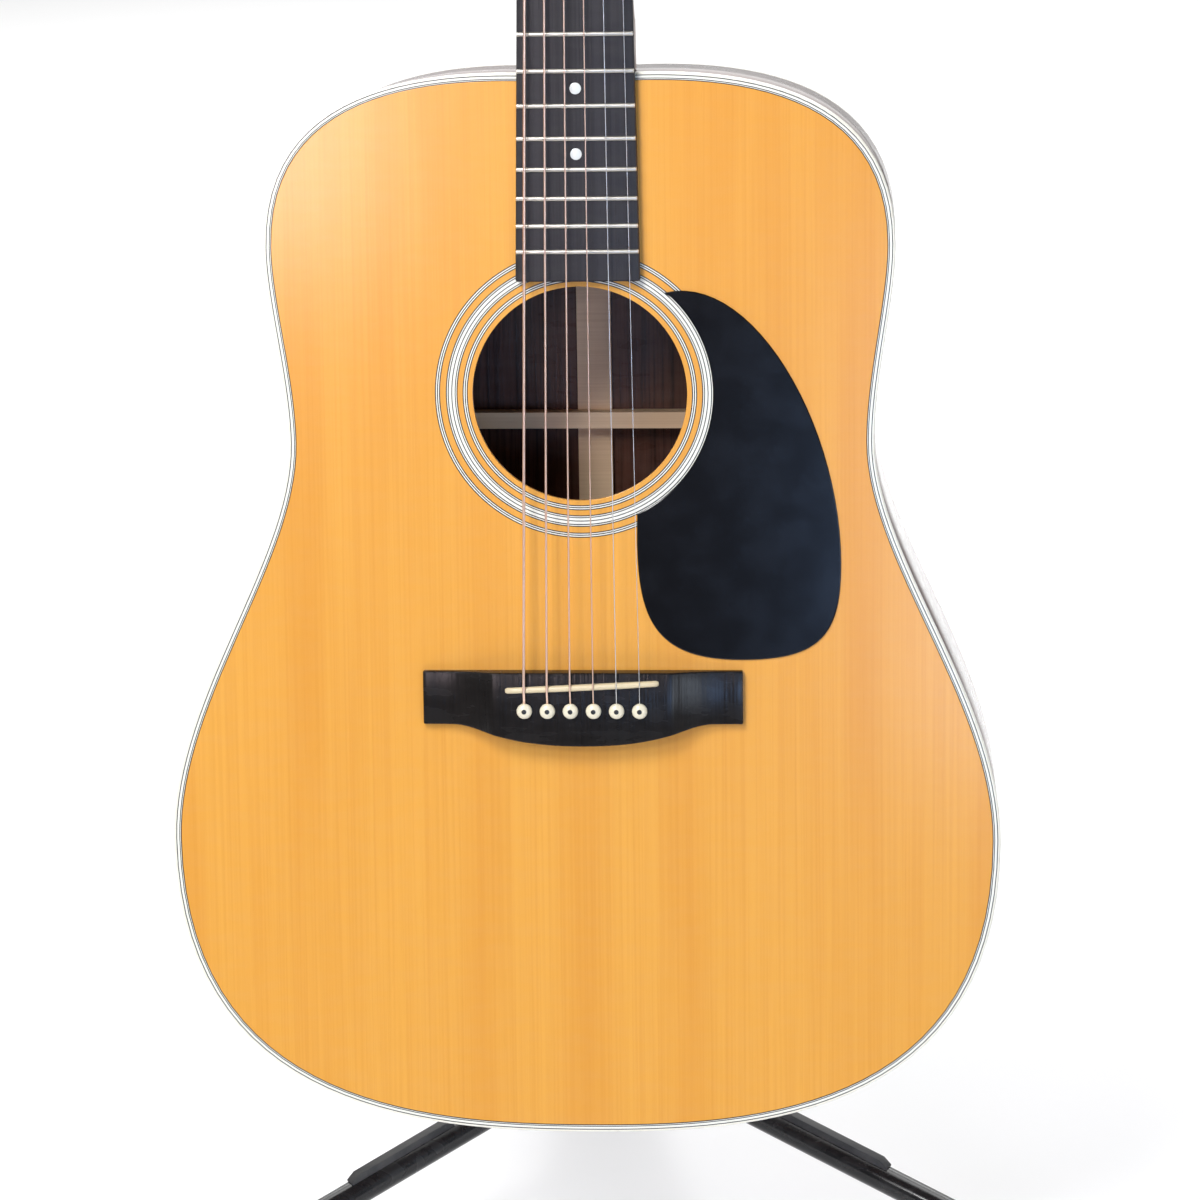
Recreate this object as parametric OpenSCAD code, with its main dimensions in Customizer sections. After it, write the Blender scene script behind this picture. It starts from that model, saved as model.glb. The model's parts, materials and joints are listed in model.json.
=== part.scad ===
// Steel-string flat-top guitar hanging on a folding tripod stand.
// The guitar leans back with its neck in a padded yoke and its back on a padded bar.

/* [Guitar body] */
// Scale length, from the nut to the saddle line
scale_len = 645.2; // [640:0.2:650]
// Fret at which the neck meets the body
join_fret = 14; // [14:1:14]
// Half width of the upper bout
upper_bout = 149; // [146:0.5:152]
// Half width of the waist
waist = 139; // [136:0.5:142]
// Half width of the lower bout
lower_bout = 199; // [196:0.5:202]
// Body depth at the neck
depth_neck = 100; // [96:1:104]
// Body depth at the tail
depth_tail = 124; // [120:1:128]
// Radius of the arched back
back_radius = 4600; // [4200:100:6000]
// Thickness of the top and of the back
plate_t = 2.8; // [2.4:0.1:3.2]
// Thickness of the sides
side_t = 2.0; // [1.8:0.1:2.4]
// Radius of the soundhole
hole_r = 50.8; // [49:0.1:52]

/* [Trim] */
// Width of the outer edge binding
binding_w = 1.2; // [1.1:0.1:2]
// Height of the outer edge binding
binding_h = 6; // [5:0.5:7]
// Width of the layered line inside the binding
purfling_w = 2.6; // [1.8:0.1:2.8]
// Thickness of the pickguard
guard_t = 0.8; // [0.6:0.1:1.2]

/* [Neck and strings] */
// Width of the neck at the nut
nut_width = 42.9; // [42:0.1:44.5]
// Width of the neck at the twelfth fret
twelfth_width = 54; // [53:0.1:55]
// Thickness of the fingerboard
board_t = 6.5; // [6:0.1:7]
// Backward tilt of the headstock
head_tilt = 15; // [13:0.5:16]
// Length of the headstock
head_len = 157; // [150:1:160]
// Number of frets
fret_count = 20; // [18:1:20]

/* [Stand] */
// Backward lean of the guitar
lean = 8; // [8:1:8]
// Height of the leg hub above the floor
hub_z = 104; // [100:1:108]
// Turn of the leg base about the column
base_turn = 4.9; // [0:0.1:6]
// Dip of the legs below horizontal
leg_dip = 16.9; // [16:0.1:18]
// Radius of the leg tubes
leg_r = 7; // [6.5:0.1:7.2]
// Outside radius of the fixed column tube
column_r = 12.7; // [12.7:0.1:12.7]
// Height of the column clamp above the floor
clamp_z = 524; // [480:1:560]

/* [Hidden] */
$fn = 48;

// The row origin is the middle of the footprint, on the floor.
column_x = -13;
column_y = -58;
// The nut, measured from the leg hub on the column
nut_ahead = 80.7;
nut_above = 898.5;

// Body frame: x to the treble side, y up the neck from the nut, z out of the top.
steps = 16;
reach = 400;
body_top = 2;
body_end = 512;
join_y = -scale_len * (1 - pow(2, -join_fret / 12));
hole_y = join_y - 150.8;
// The bridge and the pickguard are set out from hole_y; the hole itself is a little lower.
sound_y = hole_y - 1;
board_radius = 406;
board_end = -456;
nut_t = 4.8;
nut_half = nut_width / 2;
board_slope = (twelfth_width - nut_width) / scale_len;
side_inner = side_t + 6;
trim_w = binding_w + purfling_w;
deep = 150;

// Each curve runs from the neck end down to the tail: [half width, distance below the join].
body_curves = [
  [[0, body_top], [25, body_top], [upper_bout, -15], [upper_bout, 82]],
  [[upper_bout, 82], [upper_bout, 108], [waist, 144], [waist, 175]],
  [[waist, 175], [waist, 230], [lower_bout, 299], [lower_bout, 367]],
  [[lower_bout, 367], [lower_bout, 507], [74, body_end], [0, body_end]]
];

function bez(c, t) =
  pow(1 - t, 3) * c[0] + 3 * pow(1 - t, 2) * t * c[1] + 3 * (1 - t) * t * t * c[2] + pow(t, 3) * c[3];
function bez_dir(c, t) =
  pow(1 - t, 2) * (c[1] - c[0]) + 2 * (1 - t) * t * (c[2] - c[1]) + t * t * (c[3] - c[2]);
function bez_out(c, t) =
  let (d = bez_dir(c, t)) [d[1], -d[0]] / norm(d);
// Half of the body outline, set in by an amount measured square to the edge
function half_edge(inset) = [
  for (k = [0:3])
    for (i = [0:(k == 3 ? steps : steps - 1)])
      let (p = bez(body_curves[k], i / steps) - inset * bez_out(body_curves[k], i / steps))
        [p[0], join_y - p[1]]
];
function mirrored(points) = [for (i = [len(points) - 1:-1:0]) [-points[i][0], points[i][1]]];
function without_ends(points) = [for (i = [1:len(points) - 2]) points[i]];
function full_edge(inset) = concat(half_edge(inset), mirrored(without_ends(half_edge(inset))));
function board_half(y) = nut_half - y * board_slope;
function fret_y(n) = -scale_len * (1 - pow(2, -n / 12));
function arc(centre, r, from, to, n) = [
  for (i = [0:n])
    centre + r * [cos(from + (to - from) * i / n), sin(from + (to - from) * i / n)]
];
function board_drop(x) = x * x / (2 * board_radius);

// Centre of the back's sphere, in the body frame
back_a = [join_y - body_top, -depth_neck];
back_b = [join_y - body_end, -depth_tail];
back_half = norm(back_b - back_a) / 2;
back_dir = (back_b - back_a) / (2 * back_half);
back_centre = (back_a + back_b) / 2
  + sqrt(back_radius * back_radius - back_half * back_half) * [back_dir[1], -back_dir[0]];

module in_row() {
  translate([column_x, column_y, 0]) children();
}
module on_guitar() {
  in_row() translate([0, -nut_ahead, hub_z + nut_above]) rotate([90 - lean, 0, 0]) children();
}
module rod(p, q, r) {
  d = q - p;
  translate(p) rotate([0, acos(d[2] / norm(d)), atan2(d[1], d[0])]) cylinder(h = norm(d), r = r);
}
module slab(inset, low, high) {
  translate([0, 0, low]) linear_extrude(high - low) polygon(full_edge(inset));
}
module ring(outer, inner, low, high) {
  difference() {
    slab(outer, low, high);
    slab(inner, low - 1, high + 1);
  }
}
// Everything nearer than a given depth to the inside of the arched back
module back_ball(depth) {
  translate([0, back_centre[0], back_centre[1]]) rotate([90, 0, 0])
    sphere(r = back_radius - depth, $fn = 720);
}
module back_layer(from, to) {
  difference() {
    intersection() {
      children();
      back_ball(from);
    }
    back_ball(to);
  }
}

// ---- sound box ----
rosette_rings = [[53.1, 55.6], [57.9, 63.5], [66.2, 68.7]];
rosette_t = 1.2;
purfling_t = 1.4;
pin_y = hole_y - 151.7;
pin_pitch = 11;
pin_hole_r = 2.65;
string_slot = 3.25;
string_slot_r = 0.95;

module pin_holes(low, high) {
  for (i = [0:5])
    translate([pin_pitch * (i - 2.5), pin_y, low]) {
      cylinder(h = high - low, r = pin_hole_r);
      translate([0, string_slot, 0]) cylinder(h = high - low, r = string_slot_r, $fn = 24);
    }
}
module rosette_rings_solid(low, high) {
  for (r = rosette_rings)
    translate([0, sound_y, low]) difference() {
      cylinder(h = high - low, r = r[1], $fn = 120);
      translate([0, 0, -1]) cylinder(h = high - low + 2, r = r[0], $fn = 120);
    }
}
module soundboard() {
  color([0.85, 0.62, 0.32]) on_guitar() difference() {
    union() {
      slab(binding_w, -plate_t, -purfling_t);
      slab(trim_w, -purfling_t, 0);
    }
    translate([0, sound_y, -plate_t - 1]) cylinder(h = plate_t + 2, r = hole_r, $fn = 120);
    rosette_rings_solid(-rosette_t, 1);
    pin_holes(-plate_t - 1, 1);
  }
}
module back_plate() {
  color([0.25, 0.12, 0.08]) on_guitar() back_layer(0, plate_t) slab(binding_w, -deep, -60);
}
graft_t = 1;
module graft_shape(outer) {
  intersection() {
    ring(outer, graft_t, -deep, -binding_h);
    translate([0, join_y - body_end + 10, 0]) rotate([90, 0, 0]) linear_extrude(20)
      polygon([[-8, 0], [8, 0], [12, -deep], [-12, -deep]]);
  }
}
tenon_w = 25;
tenon_len = 16;
tenon_low = -80;
module tenon() {
  translate([-tenon_w / 2, join_y - tenon_len, tenon_low])
    cube([tenon_w, tenon_len + 10, -tenon_low - binding_h]);
}
end_pin_z = -62;
end_pin_r = 4;
module end_pin_hole() {
  translate([0, join_y - body_end + 40, end_pin_z]) rotate([90, 0, 0]) cylinder(h = 60, r = end_pin_r);
}
module rim_half(side) {
  intersection() {
    difference() {
      intersection() {
        ring(0, side_t, -deep, -plate_t);
        back_ball(plate_t);
      }
      ring(-1, binding_w, -binding_h, 1);
      back_layer(-5, binding_h) ring(-1, binding_w, -deep, -60);
      graft_shape(-1);
      tenon();
      end_pin_hole();
    }
    translate([side > 0 ? 0 : -reach, join_y - 600, -deep]) cube([reach, 700, deep]);
  }
}
module rim_bass() {
  color([0.28, 0.14, 0.09]) on_guitar() rim_half(-1);
}
module rim_treble() {
  color([0.28, 0.14, 0.09]) on_guitar() rim_half(1);
}
module bindings() {
  color([0.95, 0.94, 0.88]) on_guitar() {
    ring(0, binding_w, -binding_h, 0);
    back_layer(0, binding_h) ring(0, binding_w, -deep, -60);
  }
}
module purfling() {
  color([0.9, 0.89, 0.82]) on_guitar() ring(binding_w, trim_w, -purfling_t, 0);
}
module rosette() {
  color([0.85, 0.84, 0.78]) on_guitar() rosette_rings_solid(-rosette_t, 0);
}
module tail_graft() {
  color([0.93, 0.92, 0.86]) on_guitar() difference() {
    back_layer(binding_h, depth_tail + 30) graft_shape(0);
    end_pin_hole();
  }
}
neck_block_w = 90;
neck_block_len = 50;
tail_block_w = 110;
tail_block_t = 20;
module block_space(width, from, to) {
  translate([-width / 2, join_y - to, -deep - 5]) cube([width, to - from, deep + 10]);
}
lining_h = 11;
module linings() {
  color([0.8, 0.65, 0.45]) on_guitar() difference() {
    union() {
      ring(side_t, side_inner, -plate_t - lining_h, -plate_t);
      back_layer(plate_t, plate_t + lining_h) ring(side_t, side_inner, -deep, -60);
    }
    block_space(neck_block_w, -20, neck_block_len);
    block_space(tail_block_w, body_end - side_t - tail_block_t, body_end + 20);
  }
}
module inside_box() {
  intersection() {
    slab(side_t, -deep, -plate_t);
    back_ball(plate_t + glue_t);
  }
}
module neck_block() {
  color([0.55, 0.35, 0.2]) on_guitar() difference() {
    intersection() {
      inside_box();
      block_space(neck_block_w, -20, neck_block_len);
    }
    tenon();
  }
}
module tail_block() {
  color([0.55, 0.35, 0.2]) on_guitar() difference() {
    intersection() {
      inside_box();
      block_space(tail_block_w, body_end - side_t - tail_block_t, body_end + 20);
    }
    end_pin_hole();
  }
}
brace_w = 8;
brace_h = 15;
cross_t = 229;
cross_angle = 49;
// A bar under the top between two points, each [x, distance below the join]
module top_bar(a, b, w, h) {
  d = b - a;
  translate([a[0], join_y - a[1], -plate_t - h]) rotate([0, 0, atan2(-d[1], d[0])])
    translate([0, -w / 2, 0]) cube([norm(d), w, h]);
}
module x_brace() {
  along = [sin(cross_angle), cos(cross_angle)];
  color([0.85, 0.7, 0.48]) on_guitar() intersection() {
    slab(side_inner + 0.2, -deep, -plate_t);
    for (side = [-1, 1])
      top_bar([-side * along[0] * 160, cross_t - along[1] * 160],
        [side * along[0] * 260, cross_t + along[1] * 260], brace_w, brace_h);
  }
}
module top_braces() {
  color([0.85, 0.7, 0.48]) on_guitar() {
    intersection() {
      slab(side_inner + 0.2, -deep, -plate_t);
      top_bar([-180, 66], [180, 66], 12, 16);
    }
    top_bar([86, 338], [-70, 446], 8, 12);
    top_bar([112, 358], [0, 460], 8, 12);
    for (side = [-1, 1]) {
      top_bar([side * 80, 214], [side * 124, 198], 6, 8);
      top_bar([side * 92, 256], [side * 140, 262], 6, 8);
      top_bar([side * 62, 84], [side * 62, 156], 6, 5);
    }
  }
}
module bridge_plate() {
  color([0.75, 0.6, 0.42]) on_guitar() difference() {
    translate([0, hole_y - 151.4, -plate_t - 2.5]) linear_extrude(2.5)
      polygon([[-54, 19], [54, 19], [94, -19], [-94, -19]]);
    pin_holes(-plate_t - 5, 0);
  }
}
back_brace_t = [75, 176, 290, 402];
back_strip_w = 17;
glue_t = 0.1;
module back_braces() {
  color([0.85, 0.7, 0.48]) on_guitar() {
    back_layer(plate_t + glue_t, plate_t + 2.5)
      translate([-back_strip_w / 2, join_y - 488, -deep]) cube([back_strip_w, 436, deep - 60]);
    back_layer(plate_t + glue_t, plate_t + brace_h) intersection() {
      slab(side_inner + 0.2, -deep, -60);
      for (t = back_brace_t)
        translate([-reach, join_y - t - brace_w / 2, -deep]) cube([2 * reach, brace_w, deep]);
    }
  }
}

// ---- neck ----
heel_start = -283;
heel_len = 52;
heel_low = depth_neck - 4;
neck_low_nut = 14;
neck_low_heel = 17;
head_t = 15;
veneer_t = 2;
head_lift = 2;
ring_points = 13;

module on_head() {
  on_guitar() translate([0, nut_t, head_lift]) rotate([-head_tilt, 0, 0]) children();
}
function head_point(x, v, w) = [
  x,
  nut_t + v * cos(head_tilt) + w * sin(head_tilt),
  head_lift - v * sin(head_tilt) + w * cos(head_tilt)
];
// One neck section at y: half width w, top, depth, and heel share from 0 to 1
function section(y, w, top, low, heel) = concat(
  [
    for (i = [0:ring_points])
      let (a = 90 * i / ring_points)
        [8 * heel + (w - 8 * heel) * pow(cos(a), 1 + 0.5 * heel), y,
         top - (top + low) * pow(sin(a), 1 - 0.15 * heel)]
  ],
  [
    for (i = [ring_points:-1:0])
      let (a = 90 * i / ring_points)
        [-8 * heel - (w - 8 * heel) * pow(cos(a), 1 + 0.5 * heel), y,
         top - (top + low) * pow(sin(a), 1 - 0.15 * heel)]
  ]
);
function heel_section(b) =
  let (y = heel_start - heel_len * sin(b), rise = (heel_low - neck_low_heel) * (1 - cos(b)))
    section(y, board_half(y), 0, neck_low_heel + rise, sin(b) * sin(b) * 0.98 + 0.02);
neck_sections = concat(
  [
    section(19, 20.5, -4.5, 17.2, 0.02),
    section(9, 21.2, -1.6, 15.4, 0.02),
    section(1, nut_half, 0, neck_low_nut, 0.02)
  ],
  [
    for (i = [0:6])
      let (y = -20 - i * 43)
        section(y, board_half(y), 0, neck_low_nut + i * (neck_low_heel - neck_low_nut) / 6, 0.02)
  ],
  [for (b = [12:12:84]) heel_section(b)],
  [
    section(heel_start - heel_len, board_half(-335), 0, heel_low, 1),
    section(join_y - 12, board_half(join_y), 0, heel_low, 1)
  ]
);
// Skin through rings of points, closed at both ends
module loft(rings) {
  n = len(rings[0]);
  m = len(rings);
  polyhedron(
    points = [for (r = rings) for (p = r) p],
    faces = concat(
      [[for (i = [n - 1:-1:0]) i]],
      [for (k = [0:m - 2]) for (i = [0:n - 1]) [k * n + i, (k + 1) * n + (i + 1) % n, (k + 1) * n + i]],
      [for (k = [0:m - 2]) for (i = [0:n - 1]) [k * n + i, k * n + (i + 1) % n, (k + 1) * n + (i + 1) % n]],
      [[for (i = [0:n - 1]) (m - 1) * n + i]]
    )
  );
}
flare_r = 9;
head_half = nut_half + flare_r;
head_top_half = 34.5;
function head_side() = concat(
  [[nut_half, -3]],
  arc([head_half, 0], flare_r, 180, 90, 8),
  [[head_half + 1, flare_r + 1], [head_top_half, head_len - 8]],
  [for (i = [1:6]) [head_top_half * (1 - i / 6), head_len - 8 * pow(1 - i / 6, 2)]]
);
module head_slab(low, high) {
  translate([0, 0, low]) linear_extrude(high - low)
    polygon(concat(head_side(), mirrored(without_ends(concat(head_side(), [[0, 0]])))));
}
post_x = 19.5;
post_first = 32;
post_pitch = 40;
post_hole_r = 5;
// Tuners 1 to 3 sit on the treble side from the nut up, 4 to 6 on the bass side coming down.
function tuner_side(i) = i <= 3 ? 1 : -1;
function tuner_v(i) = post_first + post_pitch * (i <= 3 ? i - 1 : 6 - i);
module at_tuner(i) {
  translate([tuner_side(i) * post_x, tuner_v(i), 0])
    mirror([tuner_side(i) > 0 ? 0 : 1, 0, 0]) children();
}
module neck() {
  color([0.42, 0.22, 0.12]) {
    difference() {
      union() {
        on_guitar() loft(neck_sections);
        on_head() head_slab(-head_t, -veneer_t);
      }
      on_guitar() slab(0, -deep, 5);
      on_guitar() translate([-3.2, join_y + 6, -9.6]) cube([6.4, -join_y - 20, 12]);
      on_guitar() translate([-nut_half - 2, 0, 0]) cube([2 * nut_half + 4, nut_t, 10]);
      on_head() for (i = [1:6])
        at_tuner(i) translate([0, 0, -head_t - 1]) cylinder(h = head_t + 2, r = post_hole_r);
    }
    on_guitar() tenon();
  }
}
module heel_cap() {
  y = join_y;
  color([0.93, 0.92, 0.86]) on_guitar() difference() {
    translate([0, 0, -heel_low - 2]) linear_extrude(2)
      polygon(concat([[-13, y - 8], [13, y - 8], [13, y + 8]], arc([0, y + 9], 13, 0, 180, 12)));
    slab(0, -deep, 5);
  }
}
module truss_rod() {
  color([0.6, 0.6, 0.62]) on_guitar()
    translate([0, join_y + 12, -4.6]) rotate([-90, 0, 0]) cylinder(h = -join_y - 28, r = 3);
}
module board_slice(low, high, y0, y1, grow) {
  // Curved layer above or below the fingerboard's arched surface
  intersection() {
    difference() {
      translate([0, 20, high - board_radius]) rotate([90, 0, 0])
        cylinder(h = 520, r = board_radius, $fn = 720);
      if (low > 0)
        translate([0, 21, low - board_radius]) rotate([90, 0, 0])
          cylinder(h = 522, r = board_radius, $fn = 720);
    }
    linear_extrude(20) polygon([
      [-board_half(y0) - grow, y0], [board_half(y0) + grow, y0],
      [board_half(y1) + grow, y1], [-board_half(y1) - grow, y1]
    ]);
  }
}
dot_r = 2.7;
dot_depth = 1.2;
dot_frets = [[5, 0], [7, 0], [9, 0], [12, -1], [12, 1], [15, 0], [17, 0]];
module dots(height) {
  for (d = dot_frets)
    translate([
      d[1] * 12,
      (fret_y(d[0]) + fret_y(d[0] - 1)) / 2,
      board_t - board_drop(d[1] * 12) - dot_depth
    ])
      cylinder(h = height, r = dot_r, $fn = 32);
}
module fingerboard() {
  color([0.1, 0.09, 0.1]) on_guitar() difference() {
    board_slice(0, board_t, 0, board_end, 0);
    dots(dot_depth + 1);
  }
}
module position_dots() {
  color([0.93, 0.93, 0.9]) on_guitar() dots(dot_depth);
}
fret_w = 2.2;
fret_h = 1.1;
module frets() {
  color([0.75, 0.75, 0.77]) on_guitar()
    for (n = [1:fret_count])
      board_slice(board_t, board_t + fret_h, fret_y(n) + fret_w / 2, fret_y(n) - fret_w / 2, -0.3);
}
nut_h = 8.9;
string_r = [0.15, 0.2, 0.3, 0.41, 0.53, 0.67];
nut_pitch = 7.3;
nut_rest = 7.9;
function string_nut(i, y) =
  let (x = nut_pitch * (3.5 - i)) [x, y, nut_rest + string_r[i - 1] + 0.05 - board_drop(x)];
module nut() {
  color([0.93, 0.91, 0.84]) on_guitar() difference() {
    translate([-nut_half, 0, 0]) cube([2 * nut_half, nut_t, nut_h]);
    translate([-nut_half - 1, nut_t - 2, nut_h]) rotate([-35, 0, 0])
      cube([2 * nut_half + 2, 10, 10]);
    for (i = [1:6])
      let (p = string_nut(i, 0), r = string_r[i - 1] + 0.06) {
        translate([p[0], -1, p[2]]) rotate([-90, 0, 0]) cylinder(h = nut_t + 2, r = r, $fn = 24);
        translate([p[0] - r, -1, p[2]]) cube([2 * r, nut_t + 2, 5]);
      }
  }
}
module headstock_veneer() {
  color([0.2, 0.11, 0.08]) difference() {
    on_head() difference() {
      head_slab(-veneer_t, 0);
      for (i = [1:6])
        at_tuner(i) translate([0, 0, -head_t - 1]) cylinder(h = head_t + 2, r = post_hole_r);
    }
    on_guitar() translate([-40, nut_t - 20, -20]) cube([80, 20, 40]);
  }
}

// ---- bridge, strings and pickguard ----
bridge_h = 9;
wing_h = 3.5;
wing_scoop = 69;
bridge_top = -133.4;
bridge_low = -159.2;
bridge_half = 76.4;
saddle_len = 74;
saddle_w = 2.9;
saddle_top = 12;
saddle_mid = -140.2;
saddle_skew = 2.78;
function saddle_y(x) = hole_y + saddle_mid + x * tan(saddle_skew);
module at_saddle() {
  translate([0, hole_y + saddle_mid, 0]) rotate([0, 0, saddle_skew]) children();
}
module bridge() {
  belly = [[57, bridge_low], [47, -161.9], [33, -166.2], [17, -168.6]];
  half = concat([[bridge_half, bridge_top], [bridge_half, bridge_low]], belly, [[0, -169.1]]);
  color([0.1, 0.09, 0.09]) on_guitar() difference() {
    translate([0, hole_y, 0]) linear_extrude(bridge_h)
      polygon(concat([[0, bridge_top]], half, mirrored(half)));
    for (side = [-1, 1]) {
      translate([side * 70, 0, wing_h + wing_scoop]) rotate([90, 0, 0])
        cylinder(h = 900, r = wing_scoop, $fn = 240);
      translate([side * 90 - 20, hole_y - 180, wing_h]) cube([40, 60, 20]);
    }
    at_saddle() translate([-saddle_len / 2, -saddle_w / 2, 4]) cube([saddle_len, saddle_w, 10]);
    pin_holes(-1, bridge_h + 1);
  }
}
module saddle() {
  color([0.93, 0.91, 0.84]) on_guitar() intersection() {
    at_saddle() translate([-saddle_len / 2, -saddle_w / 2, 4]) cube([saddle_len, saddle_w, 10]);
    translate([0, 0, saddle_top - board_radius]) rotate([90, 0, 0])
      cylinder(h = 900, r = board_radius, $fn = 720);
  }
}
pin_r = 2.5;
pin_head_r = 3.7;
module bridge_pins() {
  seat = bridge_h + 0.05;
  profile = concat(
    [[0, -9], [2, -9], [pin_r, -5], [pin_r, seat], [pin_head_r, seat], [pin_head_r, seat + 0.9]],
    [for (i = [1:5]) [pin_head_r * cos(18 * i), seat + 0.9 + 2.1 * sin(18 * i)]]
  );
  color([0.92, 0.9, 0.82]) on_guitar()
    for (i = [0:5])
      translate([pin_pitch * (i - 2.5), pin_y, 0]) difference() {
        rotate_extrude() polygon(profile);
        translate([0, string_slot, -10]) cylinder(h = 30, r = 1.05, $fn = 24);
      }
}
ring_gap = 0.35;
post_r = 3;
function string_bridge(i) = pin_pitch * (3.5 - i);
// Directions square to a path, each turned from the last with no twist
function unit(v) = v / norm(v);
function path_dir(path, i) = unit(path[min(i + 1, len(path) - 1)] - path[max(i - 1, 0)]);
function square_to(d, v) = unit(v - (v * d) * d);
function path_sides(path, i, v) =
  let (s = square_to(path_dir(path, i), v))
    i == len(path) - 1 ? [s] : concat([s], path_sides(path, i + 1, s));
module sweep(path, r, sides) {
  across = path_sides(path, 0, [1, 0, 0]);
  loft([
    for (i = [0:len(path) - 1])
      let (other = cross(path_dir(path, i), across[i]))
        [for (k = [0:sides - 1])
          let (a = 360 * k / sides) path[i] + r * (cos(a) * across[i] + sin(a) * other)]
  ]);
}
coil_turns = 3;
coil_steps = 12;
// From the hole behind its pin, over the saddle and the nut, and round its post
function string_path(i) =
  let (
    r = string_r[i - 1],
    x = string_bridge(i),
    side = tuner_side(i),
    wind = post_r + ring_gap + r
  ) concat(
    [
      [x, pin_y + string_slot, -6],
      [x, pin_y + string_slot, bridge_h + 0.2],
      [x, pin_y + string_slot + 0.9, bridge_h + 0.95],
      [x, saddle_y(x), saddle_top + r + 0.1 - board_drop(x)],
      string_nut(i, 0),
      string_nut(i, nut_t)
    ],
    [
      for (k = [0:coil_turns * coil_steps])
        let (a = 360 * k / coil_steps)
          head_point(side * (post_x - wind * cos(a)), tuner_v(i) + wind * sin(a),
            4 + (coil_turns - k / coil_steps) * 2.1 * r)
    ]
  );
module strings() {
  color([0.75, 0.55, 0.42]) on_guitar()
    for (i = [1:6]) sweep(string_path(i), string_r[i - 1], 8);
}
// Pickguard outline about the soundhole centre
guard_inner_r = 63;
guard_curves = [
  [[40.3, 46.7], [82, 57], [123.2, -16], [123.2, -82]],
  [[123.2, -82], [123.2, -116], [114, -128.5], [76, -128.5]],
  [[76, -128.5], [33, -128.5], [26.4, -108], [26.4, -68]]
];
module pickguard() {
  color([0.06, 0.06, 0.08]) on_guitar() translate([0, hole_y, 0]) linear_extrude(guard_t)
    polygon(concat(
      [for (c = guard_curves) for (i = [0:11]) bez(c, i / 12)],
      arc([0, sound_y - hole_y], guard_inner_r, -65, 46, 24)
    ));
}
module end_pin() {
  profile = [[0, 14], [end_pin_r, 14], [end_pin_r, 0], [7, 0], [5, -2.5], [4, -6], [5, -9.5],
    [7.5, -11], [7.5, -12.5], [5, -14], [0, -14.5]];
  color([0.1, 0.09, 0.09]) on_guitar() translate([0, join_y - body_end, end_pin_z])
    rotate([-90, 0, 0]) rotate_extrude() polygon(profile);
}

// ---- tuning machines ----
housing_h = 11.5;
worm_v = 8.6;
worm_w = -head_t - 5.75;
worm_r = 2.6;
gear_r = 5.6;
key_reach = 29;
module tuner_housings() {
  color([0.8, 0.8, 0.82]) on_head() for (i = [1:6]) at_tuner(i) difference() {
    union() {
      translate([-8.5, -6, -head_t - housing_h]) cube([17, 17, housing_h]);
      translate([0, -6, -head_t - housing_h]) cylinder(h = housing_h, r = 8.5);
      translate([0, worm_v, worm_w]) rotate([0, 90, 0]) cylinder(h = 17.5, r = 4.2);
      translate([-8.5 + 4, worm_v + 3, -head_t - 3]) cylinder(h = 3, r = 4);
    }
    translate([0, 0, -head_t - 9.7]) cylinder(h = 20, r = gear_r + 0.4);
    translate([-7.5, worm_v, worm_w]) rotate([0, 90, 0]) cylinder(h = 40, r = worm_r + 0.05);
  }
}
module tuner_bushings() {
  color([0.8, 0.8, 0.82]) on_head() for (i = [1:6]) at_tuner(i) difference() {
    union() {
      translate([0, 0, -head_t]) cylinder(h = head_t, r = post_hole_r);
      cylinder(h = 1, r = 7.5);
      translate([0, 0, 1]) cylinder(h = 2.6, r = 6, $fn = 6);
    }
    translate([0, 0, -head_t - 1]) cylinder(h = head_t + 6, r = post_r + 0.05);
  }
}
module tuner_key(i) {
  color([0.85, 0.85, 0.87]) on_head() at_tuner(i) translate([0, worm_v, worm_w]) {
    translate([-7, 0, 0]) rotate([0, 90, 0]) cylinder(h = key_reach, r = worm_r);
    translate([18, 0, 0]) rotate([0, 90, 0]) cylinder(h = 4, r = 4.4);
    intersection() {
      translate([key_reach, 0, -4]) cylinder(h = 8, r = 9);
      translate([key_reach, 0, 0]) sphere(r = 9.4);
    }
  }
}
module tuner_post(i) {
  color([0.85, 0.85, 0.87]) on_head() at_tuner(i) difference() {
    union() {
      translate([0, 0, -head_t - 9.2]) cylinder(h = head_t + 21.2, r = post_r);
      translate([0, 0, -head_t - 9.2]) cylinder(h = 8.6, r = gear_r);
    }
    translate([0, 0, 9.5]) rotate([0, 90, 0]) translate([0, 0, -5])
      cylinder(h = 10, r = 0.9, $fn = 24);
  }
}
module tuner_key_1() tuner_key(1);
module tuner_key_2() tuner_key(2);
module tuner_key_3() tuner_key(3);
module tuner_key_4() tuner_key(4);
module tuner_key_5() tuner_key(5);
module tuner_key_6() tuner_key(6);
module tuner_post_1() tuner_post(1);
module tuner_post_2() tuner_post(2);
module tuner_post_3() tuner_post(3);
module tuner_post_4() tuner_post(4);
module tuner_post_5() tuner_post(5);
module tuner_post_6() tuner_post(6);

// ---- stand ----
tube_wall = 1.6;
leg_len = 320;
pivot_r = 34;
pivot_drop = pivot_r * tan(leg_dip);
leg_pin_r = 3;
hub_r = 20;
hub_low = -40;
hub_high = 18;
ear_gap = 15;
ear_t = 5;
// Compass turn of each leg, from straight ahead
left_turn = -60 + base_turn;
right_turn = 60 + base_turn;
rear_turn = 180 + base_turn;

// Stands at a leg, x running outward from the column axis
module at_leg(turn) {
  in_row() translate([0, 0, hub_z]) rotate([0, 0, turn - 90]) children();
}
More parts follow.
